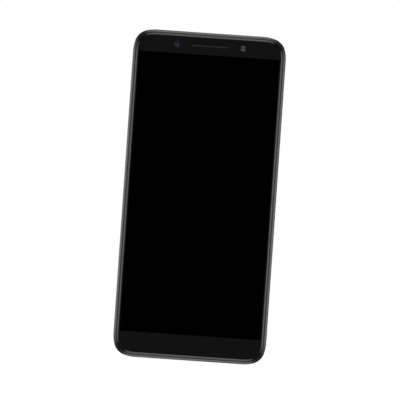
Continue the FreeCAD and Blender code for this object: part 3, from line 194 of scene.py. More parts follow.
def lay(tree, shader, share, colour):
    """Covers a share of a shader's colour with another colour."""
    laid = tree.nodes.new("ShaderNodeMix")
    laid.data_type = "RGBA"
    laid.inputs["B"].default_value = (*colour, 1)
    tree.links.new(share, laid.inputs["Factor"])
    tree.links.new(shader.inputs["Base Color"].links[0].from_socket, laid.inputs["A"])
    tree.links.new(laid.outputs["Result"], shader.inputs["Base Color"])


def taped_pouch():
    """Crinkled aluminium laminate with a band of black film round the sides and the head."""
    material = finish("pouch", (0.42, 0.43, 0.45), (0.6, 0.61, 0.63), 0.8, (0.26, 0.42), 1.0, 0.02,
                      (1, 1, 0.3))
    tree = material.node_tree
    shader = tree.nodes["Principled BSDF"]
    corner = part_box("battery")[1]
    x, _, z = axes(tree, places(tree))
    side = reckon(tree, "GREATER_THAN", reckon(tree, "ABSOLUTE", x), corner.x - SEAM_TAPE * MM)
    taped = reckon(tree, "MAXIMUM", side, reckon(tree, "GREATER_THAN", z, corner.z - HEAD_TAPE * MM))
    lay(tree, shader, taped, TAPE_BLACK)
    tree.links.new(reckon(tree, "SUBTRACT", 1, taped), shader.inputs["Metallic"])
    return material


stretch_tape = finish("stretch_tape", (0.5, 0.5, 0.48), (0.62, 0.62, 0.6), 0.5, (0.5, 0.65), 0.0, 0.004)
copper_flex = finish("copper_flex", (0.10, 0.055, 0.02), (0.16, 0.09, 0.035), 0.4, (0.3, 0.45), 0.0, 0.003,
                     (6, 1, 0.2))
dress(taped_pouch(), "battery")
dress(stretch_tape, "battery_tape")
dress(copper_flex, "battery_lead", "display_flex", "main_flex", "camera_flex", "key_flex")


# ---- Circuit boards
# Eight-layer boards in a black-green solder mask, with the copper tracks showing as faint raised lines.
# They are screwed to the bosses, and the lower one holds the charging socket.

TRACK_PITCH = 0.9
TRACK_WIDTH = 0.12           # as a share of the pitch
TRACK_RISE = 0.02
TRACK_GREEN = (0.03, 0.09, 0.045)


def solder_mask():
    """Glossy lacquer over a net of fine copper tracks."""
    material = finish("solder_mask", (0.006, 0.030, 0.016), (0.010, 0.045, 0.024), 0.5, (0.25, 0.4),
                      0.0, 0.001)
    tree = material.node_tree
    shader = tree.nodes["Principled BSDF"]
    where = places(tree)
    reaches = []
    for feature in ("F2", "F1"):
        net = tree.nodes.new("ShaderNodeTexVoronoi")
        net.distance = "MANHATTAN"
        net.feature = feature
        net.inputs["Scale"].default_value = 1 / (TRACK_PITCH * MM)
        tree.links.new(where, net.inputs["Vector"])
        reaches.append(net.outputs["Distance"])
    track = reckon(tree, "LESS_THAN", reckon(tree, "SUBTRACT", *reaches), TRACK_WIDTH)
    lay(tree, shader, track, TRACK_GREEN)
    emboss(tree, shader, track, TRACK_RISE)
    return material


dress(solder_mask(), "main_board", "sub_board", "battery_board")


# ---- Small parts on the boards
# Ceramic chip capacitors and resistors with tinned ends, placed by machine and reflow soldered.
# They fill the free fields beside the lids on both sides of the upper board.

CHIP_PART = (1.0, 0.5, 0.42)
CHIP_PITCH = (1.75, 1.15)
CHIP_END = 0.24
CHIP_SWELL = 0.02            # how far the tin stands out round an end
CHIP_ARRIS = 0.04
CHIP_BARE = 0.15             # share of the places left empty
CHIP_SEED = 7
FRONT_FIELD = ((-16.2, 125.2), (7, 7))
BACK_FIELD = ((12.9, 106.5), (3, 13))


def make(name, shape, material):
    """Turns a bmesh into a piece: soft over gentle bends, crisp over tight ones."""
    bmesh.ops.recalc_face_normals(shape, faces=shape.faces)
    mesh = bpy.data.meshes.new(name)
    shape.to_mesh(mesh)
    shape.free()
    mesh.polygons.foreach_set("use_smooth", [True] * len(mesh.polygons))
    mesh.set_sharp_from_angle(angle=math.radians(30))
    mesh.materials.append(material)
    thing = bpy.data.objects.new(name, mesh)
    bpy.context.scene.collection.objects.link(thing)
    return thing


def soft_box(shape, low, high, arris):
    """A box between two corners, in metres, with its edges broken."""
    size = high - low
    matrix = Matrix.Translation((low + high) / 2) @ Matrix.Diagonal((*size, 1))
    made = bmesh.ops.create_cube(shape, size=1, matrix=matrix)["verts"]
    edges = list({edge for vert in made for edge in vert.link_edges})
    bmesh.ops.bevel(shape, geom=edges, offset=arris, segments=2, profile=0.5, affect="EDGES")


def chip_parts(shape, placing, field, level, way, end):
    """A field of chip parts on one side of a board; end chooses their bodies or their tinned ends."""
    length, width, height = (value * MM for value in CHIP_PART)
    corner, count = field
    for column in range(count[0]):
        for row in range(count[1]):
            if placing.random() < CHIP_BARE:
                continue
            x = corner[0] * MM + column * CHIP_PITCH[0] * MM
            z = corner[1] * MM + row * CHIP_PITCH[1] * MM
            for reach in ((-1, 1) if end else (0,)):
                half = CHIP_END * MM / 2 if end else length / 2 - CHIP_END * MM
                middle = x + reach * (length - CHIP_END * MM) / 2
                swell = CHIP_SWELL * MM if end else 0
                ys = sorted((level, level + way * (height + swell)))
                soft_box(shape, Vector((middle - half, ys[0], z - width / 2 - swell)),
                         Vector((middle + half, ys[1], z + width / 2 + swell)), CHIP_ARRIS * MM)


ceramic = finish("ceramic", (0.20, 0.13, 0.08), (0.32, 0.22, 0.14), 0.3, (0.45, 0.6), 0.0, 0.002)
tinned = finish("tinned", (0.45, 0.45, 0.46), (0.7, 0.7, 0.71), 0.2, (0.2, 0.4), 1.0, 0.004)
board_low, board_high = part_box("main_board")
for title, end, stuff in (("chip_part_bodies", False, ceramic), ("chip_part_ends", True, tinned)):
    placing = random.Random(CHIP_SEED)
    shape = bmesh.new()
    chip_parts(shape, placing, FRONT_FIELD, board_low.y, -1, end)
    chip_parts(shape, placing, BACK_FIELD, board_high.y, 1, end)
    parts = make(title, shape, stuff)
    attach(parts, "phone")


# ---- Lids, chips and plugs
# Drawn tin-plated lids are soldered over the processor and the radio; a grey pad carries the heat to the lid.
# The plugs are beige and black nylon, pressed onto their sockets.

tin_lid = finish("tin_lid", (0.38, 0.38, 0.40), (0.55, 0.55, 0.57), 0.6, (0.28, 0.45), 1.0, 0.004, (1, 1, 8))
chip_resin = finish("chip_resin", (0.012, 0.012, 0.013), (0.028, 0.028, 0.030), 0.12, (0.5, 0.7), 0.0, 0.002)
heat_pad = finish("heat_pad", (0.16, 0.20, 0.26), (0.22, 0.27, 0.33), 0.6, (0.65, 0.8), 0.0, 0.01)
plug_nylon = finish("plug_nylon", (0.03, 0.028, 0.026), (0.06, 0.055, 0.05), 0.3, (0.4, 0.55), 0.0, 0.003)
dress(tin_lid, "shield_front", "shield_back", "sim_reader")
dress(chip_resin, "processor", "board_chips", "display_driver")
dress(heat_pad, "thermal_pad")
dress(plug_nylon, "board_connectors", "key_switches")


# ---- Aerial lead
# A screened cable in a black jacket that runs beside the battery, with a pressed round plug at each end.
# The jacket is extruded, so it shines along its length.

jacket = finish("jacket", (0.02, 0.02, 0.021), (0.045, 0.045, 0.047), 0.3, (0.3, 0.5), 0.0, 0.002,
                (1, 1, 0.2))
dress(jacket, "coax_cable")


# ---- Covers over the boards and the loudspeaker box
# Moulded in glass-filled black plastic with a spark-eroded matt skin, and held by the screws.
# The gold aerial tracks are plated straight onto the upper one.

AERIAL = 0.03
AERIAL_ARRIS = 0.01
AERIAL_TRACKS = ((-14, 141.2, 20, 1.2), (-23.4, 138.4, 1.2, 6.8), (-17, 135.6, 11.6, 1.2),
                 (8, 141.2, 12, 1.2), (13.4, 138.6, 1.2, 6.4), (8.5, 136, 8.6, 1.2))

spark_black = finish("spark_black", (0.018, 0.018, 0.019), (0.035, 0.035, 0.037), 0.16, (0.55, 0.72),
                     0.0, 0.006)
gold = finish("gold", (0.62, 0.38, 0.11), (0.83, 0.56, 0.2), 0.15, (0.2, 0.36), 1.0, 0.002)
dress(spark_black, "board_cover", "bottom_cover", "speaker_box", "camera_housing", "earpiece", "microphones")
cover_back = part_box("board_cover")[1].y
shape = bmesh.new()
for x, z, width, height in AERIAL_TRACKS:
    soft_box(shape, Vector(((x - width / 2) * MM, cover_back, (z - height / 2) * MM)),
             Vector(((x + width / 2) * MM, cover_back + AERIAL * MM, (z + height / 2) * MM)),
             AERIAL_ARRIS * MM)
aerial = make("aerial_tracks", shape, gold)
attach(aerial, "phone")


# ---- Steel pieces
# Folded stainless strip: the bracket behind the key switches and the can of the vibration motor.
# The weight inside the can is sintered tungsten, dull and dark.

strip_steel = finish("strip_steel", (0.36, 0.36, 0.37), (0.55, 0.55, 0.56), 0.25, (0.22, 0.4), 1.0, 0.002,
                     (1, 1, 10))
tungsten = finish("tungsten", (0.12, 0.12, 0.125), (0.2, 0.2, 0.205), 0.2, (0.4, 0.55), 1.0, 0.004)
dress(strip_steel, "key_bracket", "motor_case")
dress(tungsten, "motor_rotor")


# ---- Charging socket
# A seamless drawn steel shell with a nickel flash, and a black blade moulded on its rear plug.
# Twelve gold-plated fingers lie in the blade on each side.

FINGERS = 12
FINGER_PITCH = 0.5
FINGER = (0.27, 3.2, 0.03)
FINGER_FOOT = 0.4
FINGER_ARRIS = 0.01
BLADE_HALF = 0.35

nickel = finish("nickel", (0.42, 0.41, 0.40), (0.6, 0.59, 0.57), 0.3, (0.18, 0.32), 1.0, 0.0015, (1, 1, 6))
blade_black = finish("blade_black", (0.010, 0.010, 0.011), (0.02, 0.02, 0.021), 0.15, (0.4, 0.55), 0.0, 0.002)
dress(nickel, "usb_port")
dress(blade_black, "usb_tongue", "headphone_jack")
finger_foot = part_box("usb_tongue")[0].z + FINGER_FOOT * MM
shell_low, shell_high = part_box("usb_port")
blade_mid = (shell_low.y + shell_high.y) / 2
shape = bmesh.new()
for number in range(FINGERS):
    x = (number - (FINGERS - 1) / 2) * FINGER_PITCH * MM
    for way in (-1, 1):
        face = blade_mid + way * BLADE_HALF * MM
        ys = sorted((face, face + way * FINGER[2] * MM))
        soft_box(shape, Vector((x - FINGER[0] * MM / 2, ys[0], finger_foot)),
                 Vector((x + FINGER[0] * MM / 2, ys[1], finger_foot + FINGER[1] * MM)), FINGER_ARRIS * MM)
fingers = make("charging_fingers", shape, gold)
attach(fingers, "phone")


# ---- Headphone springs
# Bowed strips of phosphor bronze, plated with gold, that press on the plug from the wall of the bore.
# Each is staked into the moulding of the socket at both ends.

BORE = 1.8
SPRINGS = ((3.0, 0), (5.5, 180), (8.0, 0), (10.0, 180))      # how deep, and at which angle
SPRING = 0.12
SPRING_BOW = 0.35
SPRING_LENGTH = 2.6
SPRING_STEPS = 8


def stitch(shape, one, two):
    """Faces between two rows of points that go round."""
    for step in range(len(one)):
        after = (step + 1) % len(one)
        shape.faces.new((one[step], one[after], two[after], two[step]))


def wire(shape, path, radius, sides=6):
    """A round wire along a path, closed at both ends."""
    rings = []
    for number, point in enumerate(path):
        along = (path[min(number + 1, len(path) - 1)] - path[max(number - 1, 0)]).normalized()
        side = along.cross(Vector((0, 1, 0)))
        side = side.normalized() if side.length > 0.1 else Vector((1, 0, 0))
        over = along.cross(side).normalized()
        ring = []
        for step in range(sides):
            angle = 2 * math.pi * step / sides
            ring.append(shape.verts.new(point + (side * math.cos(angle) + over * math.sin(angle)) * radius))
        rings.append(ring)
    for one, two in zip(rings, rings[1:]):
        stitch(shape, one, two)
    shape.faces.new(rings[0])
    shape.faces.new(rings[-1][::-1])


jack_low, jack_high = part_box("headphone_jack")
jack_mid = (jack_low + jack_high) / 2
shape = bmesh.new()
for drop, angle in SPRINGS:
    turn = math.radians(angle)
    path = []
    for step in range(SPRING_STEPS + 1):
        share = step / SPRING_STEPS
        reach = BORE * MM - SPRING_BOW * MM * math.sin(math.pi * share)
        z = jack_high.z - drop * MM + (share - 0.5) * SPRING_LENGTH * MM
        path.append(Vector((jack_mid.x + reach * math.cos(turn), jack_mid.y + reach * math.sin(turn), z)))
    wire(shape, path, SPRING * MM, 8)
springs = make("headphone_springs", shape, gold)
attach(springs, "phone")


# ---- Earpiece
# A small loudspeaker behind a foam collar; a fine woven steel gauze fills the slot in the glass.
# The gauze is pressed into the slot a little below the surface, with a black cloth behind it.

WEAVE = 0.24
WEAVE_WIRE = 0.062
WEAVE_WAVE = 0.05
SHORT_STEPS = 12             # points along a short wire
LONG_STEPS = 8               # points between two short wires along a long one
CLOTH = 0.1
CLOTH_ARRIS = 0.02
TINY = 1e-9

foam = finish("foam", (0.012, 0.012, 0.013), (0.03, 0.03, 0.031), 0.25, (0.8, 0.95), 0.0, 0.02)
gauze = finish("gauze", (0.008, 0.008, 0.0085), (0.014, 0.014, 0.0145), 0.05, (0.4, 0.55), 0.0, 0.001)
dress(foam, "earpiece_gasket", "glass_tape")
slot_low, slot_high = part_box("earpiece_mesh")
slot_mid = (slot_low + slot_high) / 2
slot_half = (slot_high - slot_low) / 2
gauze_y = slot_low.y + (WEAVE_WIRE + WEAVE_WAVE) * MM
shape = bmesh.new()
columns = int(slot_half.x / (WEAVE * MM))
for column in range(-columns, columns + 1):
    x = column * WEAVE * MM
    past = max(abs(x) - (slot_half.x - slot_half.z), 0)
    tall = math.sqrt(max(slot_half.z ** 2 - past ** 2, 0)) - WEAVE_WIRE * MM
    if tall < WEAVE * MM / 2:
        continue
    path = []
    for step in range(SHORT_STEPS + 1):
        z = (2 * step / SHORT_STEPS - 1) * tall
        wave = WEAVE_WAVE * math.cos(math.pi * (z / (WEAVE * MM) + column))
        path.append(Vector((slot_mid.x + x, gauze_y + wave * MM, slot_mid.z + z)))
    wire(shape, path, WEAVE_WIRE * MM)
for row in (-1, 0, 1):
    z = row * WEAVE * MM
    wide = slot_half.x - slot_half.z + math.sqrt(slot_half.z ** 2 - z ** 2) - 2 * WEAVE_WIRE * MM
    steps = LONG_STEPS * columns
    path = []
    for step in range(steps + 1):
        x = (2 * step / steps - 1) * wide
        wave = -WEAVE_WAVE * math.cos(math.pi * (x / (WEAVE * MM) + row))
        path.append(Vector((slot_mid.x + x, gauze_y + wave * MM, slot_mid.z + z)))
    wire(shape, path, WEAVE_WIRE * MM)
earpiece_gauze = make("earpiece_gauze", shape, gauze)
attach(earpiece_gauze, "phone")
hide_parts("earpiece_mesh")


def round_line(middle, width, height, radius, steps=8):
    """Points round a box with rounded corners, seen from the front, in metres."""
    points = []
    for quarter, (right, up) in enumerate(((1, 1), (-1, 1), (-1, -1), (1, -1))):
        centre = (middle.x + right * (width / 2 - radius), middle.z + up * (height / 2 - radius))
        for step in range(steps + 1):
            angle = math.pi / 2 * (quarter + step / steps)
            point = (centre[0] + radius * math.cos(angle), centre[1] + radius * math.sin(angle))
            if not points or math.dist(points[-1], point) > TINY:
                points.append(point)
    return points[:-1] if math.dist(points[0], points[-1]) < TINY else points


def plate(shape, line, ys, arris):
    """A closed line pushed through from one y to the other, with both rims broken."""
    centre = (sum(x for x, _ in line) / len(line), sum(z for _, z in line) / len(line))
    rows = []
    for drawn_in, y in ((arris, ys[0]), (0, ys[0] + arris), (0, ys[1] - arris), (arris, ys[1])):
        row = []
        for x, z in line:
            share = 1 - drawn_in / max(math.dist((x, z), centre), arris)
            row.append(shape.verts.new((centre[0] + (x - centre[0]) * share, y,
                                        centre[1] + (z - centre[1]) * share)))
        rows.append(row)
    for one, two in zip(rows, rows[1:]):
        stitch(shape, one, two)
    shape.faces.new(rows[0])
    shape.faces.new(rows[-1][::-1])


cloth = finish("backing_cloth", (0.004, 0.004, 0.0045), (0.009, 0.009, 0.0095), 0.12, (0.85, 0.95), 0.0, 0.01)
shape = bmesh.new()
plate(shape, round_line(slot_mid, 2 * slot_half.x, 2 * slot_half.z, slot_half.z * 0.999),
      (slot_high.y - CLOTH * MM, slot_high.y), CLOTH_ARRIS * MM)
backing = make("earpiece_cloth", shape, cloth)
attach(backing, "phone")


# ---- Loudspeaker cloth
# A sheet of fine black polyester mesh, glued over the six drilled holes of the bottom edge from inside.
# The threads are hot-pressed where they cross.

dress(cloth, "speaker_mesh")


# ---- Front camera
# A black barrel with a bare alloy stop ring, and a small domed lens; its blue-violet coat is a painted
# reflection, and its black middle a painted shade.
# The barrel stands on the upper board and looks through a clear window in the printed glass.

STOP_RING = (1.36, 0.8)      # outer and inner radius
STOP_SHAPE = ((0.12, -0.03), (0.06, 0.16), 0.2)      # where its slope starts and ends, and how deep it goes
EYE_BULGE = 0.24
EYE_SINK = 0.06
LENS_IOR = 1.7
LENS_TINT = (0.62, 0.55, 1.0, 1)
LENS_COAT = (0.4, 0.03)      # weight and roughness
# painted shade: the lens's black middle and dark rim stand for the unlit inside of the camera
PUPIL_SHADE = (0.0015, 0.0015, 0.002, 1)
LENS_RIM_SHADE = (0.004, 0.004, 0.006, 1)
# painted reflection: the violet and blue rings in the lens's colour stand for the coat's reflected tint
LENS_REFLECTION_TONES = ((0.34, PUPIL_SHADE), (0.40, (0.020, 0.010, 0.050, 1)), (0.62, (0.012, 0.016, 0.055, 1)),
              (0.85, (0.004, 0.012, 0.020, 1)))

barrel_black = finish("barrel_black", (0.010, 0.010, 0.011), (0.02, 0.02, 0.021), 0.2, (0.35, 0.5),
                      0.0, 0.002)
stop_alloy = finish("stop_alloy", (0.075, 0.075, 0.10), (0.13, 0.13, 0.17), 0.1, (0.3, 0.42), 0.35, 0.002)
dress(barrel_black, "front_camera", "camera_barrel")


def reach_from(tree, middle, weights):
    """How far a point lies from middle, with a weight each way."""
    value = places(tree)
    for operation, numbers in (("SUBTRACT", tuple(middle)), ("MULTIPLY", weights)):
        step = tree.nodes.new("ShaderNodeVectorMath")
        step.operation = operation
        step.inputs[1].default_value = numbers
        tree.links.new(value, step.inputs[0])
        value = step.outputs[0]
    length = tree.nodes.new("ShaderNodeVectorMath")
    length.operation = "LENGTH"
    tree.links.new(value, length.inputs[0])
    return length.outputs["Value"]


def smear(tree, shader, size, rough, detail=2):
    """A faint film that dulls polished glass unevenly."""
    film = noise(tree, places(tree), size, detail)
    tree.links.new(spread(tree, film, rough), shader.inputs["Roughness"])


def lens_painted_light(name, middle, radius):
    """Polished glass coloured with a painted-shade black middle and painted-reflection violet to blue rings.
    """
    material, tree, shader = blank(name)
    shader.inputs["IOR"].default_value = LENS_IOR
    shader.inputs["Specular Tint"].default_value = LENS_TINT
    shader.inputs["Coat Weight"].default_value, shader.inputs["Coat Roughness"].default_value = LENS_COAT
    # the painted shade and painted reflection go into the base colour by distance from the middle
    tones = tree.nodes.new("ShaderNodeValToRGB")
    ramp = tones.color_ramp.elements
    ramp[0].color, ramp[1].color = PUPIL_SHADE, LENS_RIM_SHADE
    for position, colour in LENS_REFLECTION_TONES:
        ramp.new(position).color = colour
    tree.links.new(reach_from(tree, middle, (1 / radius, 0, 1 / radius)), tones.inputs["Fac"])
    tree.links.new(tones.outputs["Color"], shader.inputs["Base Color"])
    smear(tree, shader, 1.5, (0.02, 0.06))
    return material


def turned(shape, middle, profile, steps=64, closed=True):
    """Turns a profile of (radius, y) points about the line through middle that runs into the phone."""
    rows = []
    for radius, y in profile:
        count = steps if radius > 0 else 1
        angles = [2 * math.pi * step / steps for step in range(count)]
        rows.append([shape.verts.new((middle.x + radius * math.cos(a), y, middle.z + radius * math.sin(a)))
                     for a in angles])
    following = rows[1:] + rows[:1] if closed else rows[1:]
    for one, two in zip(rows, following):
        for step in range(steps):
            after = (step + 1) % steps
            loop = [one[step % len(one)], one[after % len(one)], two[after % len(two)], two[step % len(two)]]
            loop = list(dict.fromkeys(loop))
            if len(loop) > 2:
                shape.faces.new(loop)


def dome(radius, bulge, crown, back, way, steps=10):
    """The profile of a lens: a ball face that crowns at one y and a flat face at the other."""
    ball = (radius * radius + bulge * bulge) / (2 * bulge)
    reach = math.asin(radius / ball)
    points = [(0, crown)]
    for step in range(1, steps + 1):
        angle = reach * step / steps
        points.append((ball * math.sin(angle), crown - way * ball * (1 - math.cos(angle))))
    return points + [(radius, back), (0, back)]


eye_low, eye_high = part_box("front_camera_lens")
eye_mid = (eye_low + eye_high) / 2
outer, inner = (value * MM for value in STOP_RING)
(start_in, start), (end_in, end), deep = STOP_SHAPE
shape = bmesh.new()
turned(shape, eye_mid, [(outer, eye_low.y), (outer - start_in * MM, eye_low.y + start * MM),
                        (inner + end_in * MM, eye_low.y + end * MM), (inner, eye_low.y + deep * MM),
                        (inner, eye_high.y), (outer, eye_high.y)])
stop_ring = make("front_camera_stop", shape, stop_alloy)
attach(stop_ring, "phone")
shape = bmesh.new()
turned(shape, eye_mid, dome(inner, EYE_BULGE * MM, eye_low.y + EYE_SINK * MM, eye_high.y, -1), closed=False)
front_eye = make("front_camera_eye", shape, lens_painted_light("front_lens_glass", eye_mid, inner))
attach(front_eye, "phone")
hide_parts("front_camera_lens")


# ---- Proximity sensor
# An emitter and a receiver under two pale moulded lenses, one above the other in a black housing.
# It stands on the board behind its own window beside the earpiece.

EYE = (2.45, 1.28, 0.6)
EYE_LIFT = 0.25
EYE_SWELL = 2.4              # how squarely the face of a lens swells
EYE_PITCH = 1.42
EYE_DEPTH = 0.34             # faces nearer the front than this are pale; the housing starts just behind
EYE_ROOT = 0.4
SENSOR_CASE = (2.8, 3.1, 0.4)
SENSOR_DROP = 0.35
SENSOR_ARRIS = 0.05

sensor_black = finish("sensor_black", (0.008, 0.008, 0.009), (0.016, 0.016, 0.017), 0.2, (0.4, 0.55),
                      0.0, 0.002)
pale_dome = finish("pale_dome", (0.10, 0.10, 0.10), (0.17, 0.17, 0.165), 0.3, (0.2, 0.35), 0.0, 0.002)
sensor_low, sensor_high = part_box("proximity_sensor")
sensor_mid = (sensor_low + sensor_high) / 2


def pillow(shape, middle, size, crown, lift, back, steps=6):
    """A lens with a round-cornered outline and a swollen face; size is its width, height and corner."""
    rows = []
    for step in range(steps, 0, -1):
        share = step / steps
        line = round_line(middle, size[0] * share, size[1] * share, size[2] * share)
        rows.append([shape.verts.new((x, crown + lift * share ** EYE_SWELL, z)) for x, z in line])
    rows.insert(0, [shape.verts.new((vert.co.x, back, vert.co.z)) for vert in rows[0]])
    for one, two in zip(rows, rows[1:]):
        stitch(shape, one, two)
    shape.faces.new(rows[0][::-1])
    shape.faces.new(rows[-1])


shape = bmesh.new()
plate(shape, round_line(sensor_mid, *[value * MM for value in SENSOR_CASE]),
      (sensor_low.y + SENSOR_DROP * MM, sensor_high.y), SENSOR_ARRIS * MM)
for way in (-1, 1):
    spot = sensor_mid + Vector((0, 0, way * EYE_PITCH / 2 * MM))
    pillow(shape, spot, [value * MM for value in EYE], sensor_low.y, EYE_LIFT * MM,
           sensor_low.y + EYE_ROOT * MM)
eyes = make("sensor_domes", shape, sensor_black)
eyes.data.materials.append(pale_dome)
for face in eyes.data.polygons:
    face.material_index = int(face.center.y < sensor_low.y + EYE_DEPTH * MM)
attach(eyes, "phone")
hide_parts("proximity_sensor")


# ---- Display
# Touch film, two sheets of display glass and a backlight in a folded frame, stacked under the cover glass.
# When it is off, the stack is black; its edges show the pale light guide.

display_stack = finish("display_stack", (0.010, 0.011, 0.014), (0.018, 0.019, 0.023), 1.0, (0.1, 0.2))
light_guide = finish("light_guide", (0.45, 0.46, 0.47), (0.6, 0.6, 0.61), 0.8, (0.3, 0.45), 0.0, 0.003)
dress(display_stack, "touch_film", "lcd_cell")
dress(light_guide, "backlight")


# ---- Cover glass
# One sheet of toughened glass, ground to a rolled edge and polished, and printed black from behind.
# Foam tape holds it to the shelf of the band, and the print is left off over the camera and the sensor.

LEAD_RADIUS = 18.0
LEAD_TURN = 16
LEAD_STEPS = 6
CORNER_RADIUS = 6.9
CORNER_STEPS = 24
GLASS_EDGE = 1.41
GLASS_ROLL = 1.45
GLASS_DROP = 0.35
GLASS = 0.8
GLASS_ARRIS = 0.06
ROLL_STEPS = 14
SLOT_FIT = 0.05
CAMERA_WINDOW = 1.5
SENSOR_WINDOW = (2.9, 3.2, 1.35)
WINDOW_STEPS = 12
SCREEN_SIDE = 2.7
SCREEN_TOP = 9.95
SCREEN_BOTTOM = 11.35
GLASS_IOR = 1.38
INK = 0.0034
INK_CHANGE = 0.15            # how far the black varies either way, as a share of it
INK_GRAIN = 0.3
SCREEN_BLACK = (0.0001, 0.0001, 0.00012)


def rim_line(inset):
    """Points round the phone's outline, drawn in by an inset, in metres."""
    half = (cad_box[1].x / MM, (cad_box[1].z - cad_box[0].z) / MM / 2)
    turn = math.radians(LEAD_TURN)
    slack = LEAD_RADIUS - CORNER_RADIUS
    reach = LEAD_RADIUS - slack * (math.cos(turn) - math.sin(turn))
    side = (half[0] - LEAD_RADIUS, half[1] - reach)
    tight = (side[0] + slack * math.cos(turn), side[1] + slack * math.sin(turn))
    end = (half[0] - reach, half[1] - LEAD_RADIUS)
    corner = []
    for centre, radius, start, stop, steps in (
            (side, LEAD_RADIUS, 0, LEAD_TURN, LEAD_STEPS),
            (tight, CORNER_RADIUS, LEAD_TURN, 90 - LEAD_TURN, CORNER_STEPS),
            (end, LEAD_RADIUS, 90 - LEAD_TURN, 90, LEAD_STEPS)):
        for step in range(steps + (stop == 90)):
            angle = math.radians(start + (stop - start) * step / steps)
            corner.append((centre[0] + (radius - inset) * math.cos(angle),
                           centre[1] + (radius - inset) * math.sin(angle)))
    loop = corner + [(-x, z) for x, z in reversed(corner)]
    loop += [(-x, -z) for x, z in corner] + [(x, -z) for x, z in reversed(corner)]
    middle = (cad_box[0].z + cad_box[1].z) / 2
    return [(x * MM, middle + z * MM) for x, z in loop]


def round_row(shape, line, y):
    return [shape.verts.new((x, y, z)) for x, z in line]


def closed_edges(shape, row):
    """The edges that join a row into a loop."""
    edges = []
    for one, two in zip(row, row[1:] + row[:1]):
        edges.append(shape.edges.get((one, two)) or shape.edges.new((one, two)))
    return edges


def printed_glass():
    """Polished glass over black print; the lit area is blacker still, and fingers leave a faint film."""
    material, tree, shader = blank("printed_glass")
    shader.inputs["IOR"].default_value = GLASS_IOR
    x, _, z = axes(tree, places(tree))
    inside = reckon(tree, "LESS_THAN", reckon(tree, "ABSOLUTE", x), cad_box[1].x - SCREEN_SIDE * MM)
    for operation, limit in (("LESS_THAN", cad_box[1].z - SCREEN_TOP * MM),
                             ("GREATER_THAN", cad_box[0].z + SCREEN_BOTTOM * MM)):
        inside = reckon(tree, "MULTIPLY", inside, reckon(tree, operation, z, limit))
    ink = spread(tree, noise(tree, places(tree), INK_GRAIN), (INK * (1 - INK_CHANGE), INK * (1 + INK_CHANGE)))
    tree.links.new(ink, shader.inputs["Base Color"])
    lay(tree, shader, inside, SCREEN_BLACK)
    smear(tree, shader, 22, (0.02, 0.07), 5)
    return material


roll = (GLASS_ROLL * GLASS_ROLL + GLASS_DROP * GLASS_DROP) / (2 * GLASS_DROP)
roll_turn = math.asin(GLASS_ROLL / roll)
glass_front = cad_box[0].y
glass_back = glass_front + GLASS * MM
shape = bmesh.new()
rows = []
for step in range(ROLL_STEPS + 1):
    angle = roll_turn * step / ROLL_STEPS
    rows.append(round_row(shape, rim_line(GLASS_EDGE + GLASS_ROLL - roll * math.sin(angle)),
                          glass_front + roll * (1 - math.cos(angle)) * MM))
rows.append(round_row(shape, rim_line(GLASS_EDGE), glass_back - GLASS_ARRIS * MM))
rows.append(round_row(shape, rim_line(GLASS_EDGE + GLASS_ARRIS), glass_back))
for one, two in zip(rows, rows[1:]):
    stitch(shape, one, two)
openings = [round_line(slot_mid, 2 * (slot_half.x + SLOT_FIT * MM), 2 * (slot_half.z + SLOT_FIT * MM),
                       slot_half.z + SLOT_FIT * 0.98 * MM),
            round_line(eye_mid, 2 * CAMERA_WINDOW * MM, 2 * CAMERA_WINDOW * MM, CAMERA_WINDOW * MM,
                       WINDOW_STEPS),
            round_line(sensor_mid, *[value * MM for value in SENSOR_WINDOW])]
front_loops, back_loops = [rows[0]], [rows[-1]]
for line in openings:
    front, back = round_row(shape, line, glass_front), round_row(shape, line, glass_back)
    stitch(shape, front, back)
    front_loops.append(front)
    back_loops.append(back)
flat_faces = []
for loops in (front_loops, back_loops):
    edges = [edge for row in loops for edge in closed_edges(shape, row)]
    filled = bmesh.ops.triangle_fill(shape, edges=edges, use_beauty=True, use_dissolve=False)
    flat_faces += [face for face in filled["geom"] if isinstance(face, bmesh.types.BMFace)]
shape.faces.index_update()
flat_numbers = [face.index for face in flat_faces]
front_glass = make("front_glass", shape, printed_glass())
for number in flat_numbers:
    front_glass.data.polygons[number].use_smooth = False
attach(front_glass, "phone")
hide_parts("cover_glass")


# ---- Clear windows in the print
# The same sheet of glass where the print is left off.
# A round window lies over the camera and an oval one over the sensor, level with the rest of the glass.

PANE = 0.3
PANE_FIT = 0.01
PANE_ARRIS = 0.005
PANE_TINT = (0.93, 0.94, 0.95, 1)
PANE_IOR = 1.45


def show(tree, share, under, over):
    """Blends one shader into another at the surface of a material."""
    blend = tree.nodes.new("ShaderNodeMixShader")
    for value, socket in zip((share, under, over), blend.inputs):
        tree.links.new(value, socket)
    tree.links.new(blend.outputs[0], tree.nodes["Material Output"].inputs["Surface"])


def clear_pane(name):
    """Clear glass that reflects a little at its front face and lets the rest through."""
    material, tree, shader = blank(name)
    tree.nodes.remove(shader)
    through = tree.nodes.new("ShaderNodeBsdfTransparent")
    through.inputs["Color"].default_value = PANE_TINT
    gloss = tree.nodes.new("ShaderNodeBsdfGlossy")
    smear(tree, gloss, 2.5, (0.02, 0.06))
    share = tree.nodes.new("ShaderNodeFresnel")
    share.inputs["IOR"].default_value = PANE_IOR
    show(tree, share.outputs[0], through.outputs[0], gloss.outputs[0])
    return material


pane_glass = clear_pane("pane_glass")
for name, middle, width, height, corner in (
        ("camera_pane", eye_mid, 2 * CAMERA_WINDOW, 2 * CAMERA_WINDOW, CAMERA_WINDOW),
        ("sensor_pane", sensor_mid, *SENSOR_WINDOW)):
    shape = bmesh.new()
    line = round_line(middle, (width - 2 * PANE_FIT) * MM, (height - 2 * PANE_FIT) * MM,
                      (corner - PANE_FIT) * MM, WINDOW_STEPS)
    plate(shape, line, (glass_front, glass_front + PANE * MM), PANE_ARRIS * MM)
    pane = make(name, shape, pane_glass)
    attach(pane, "phone")


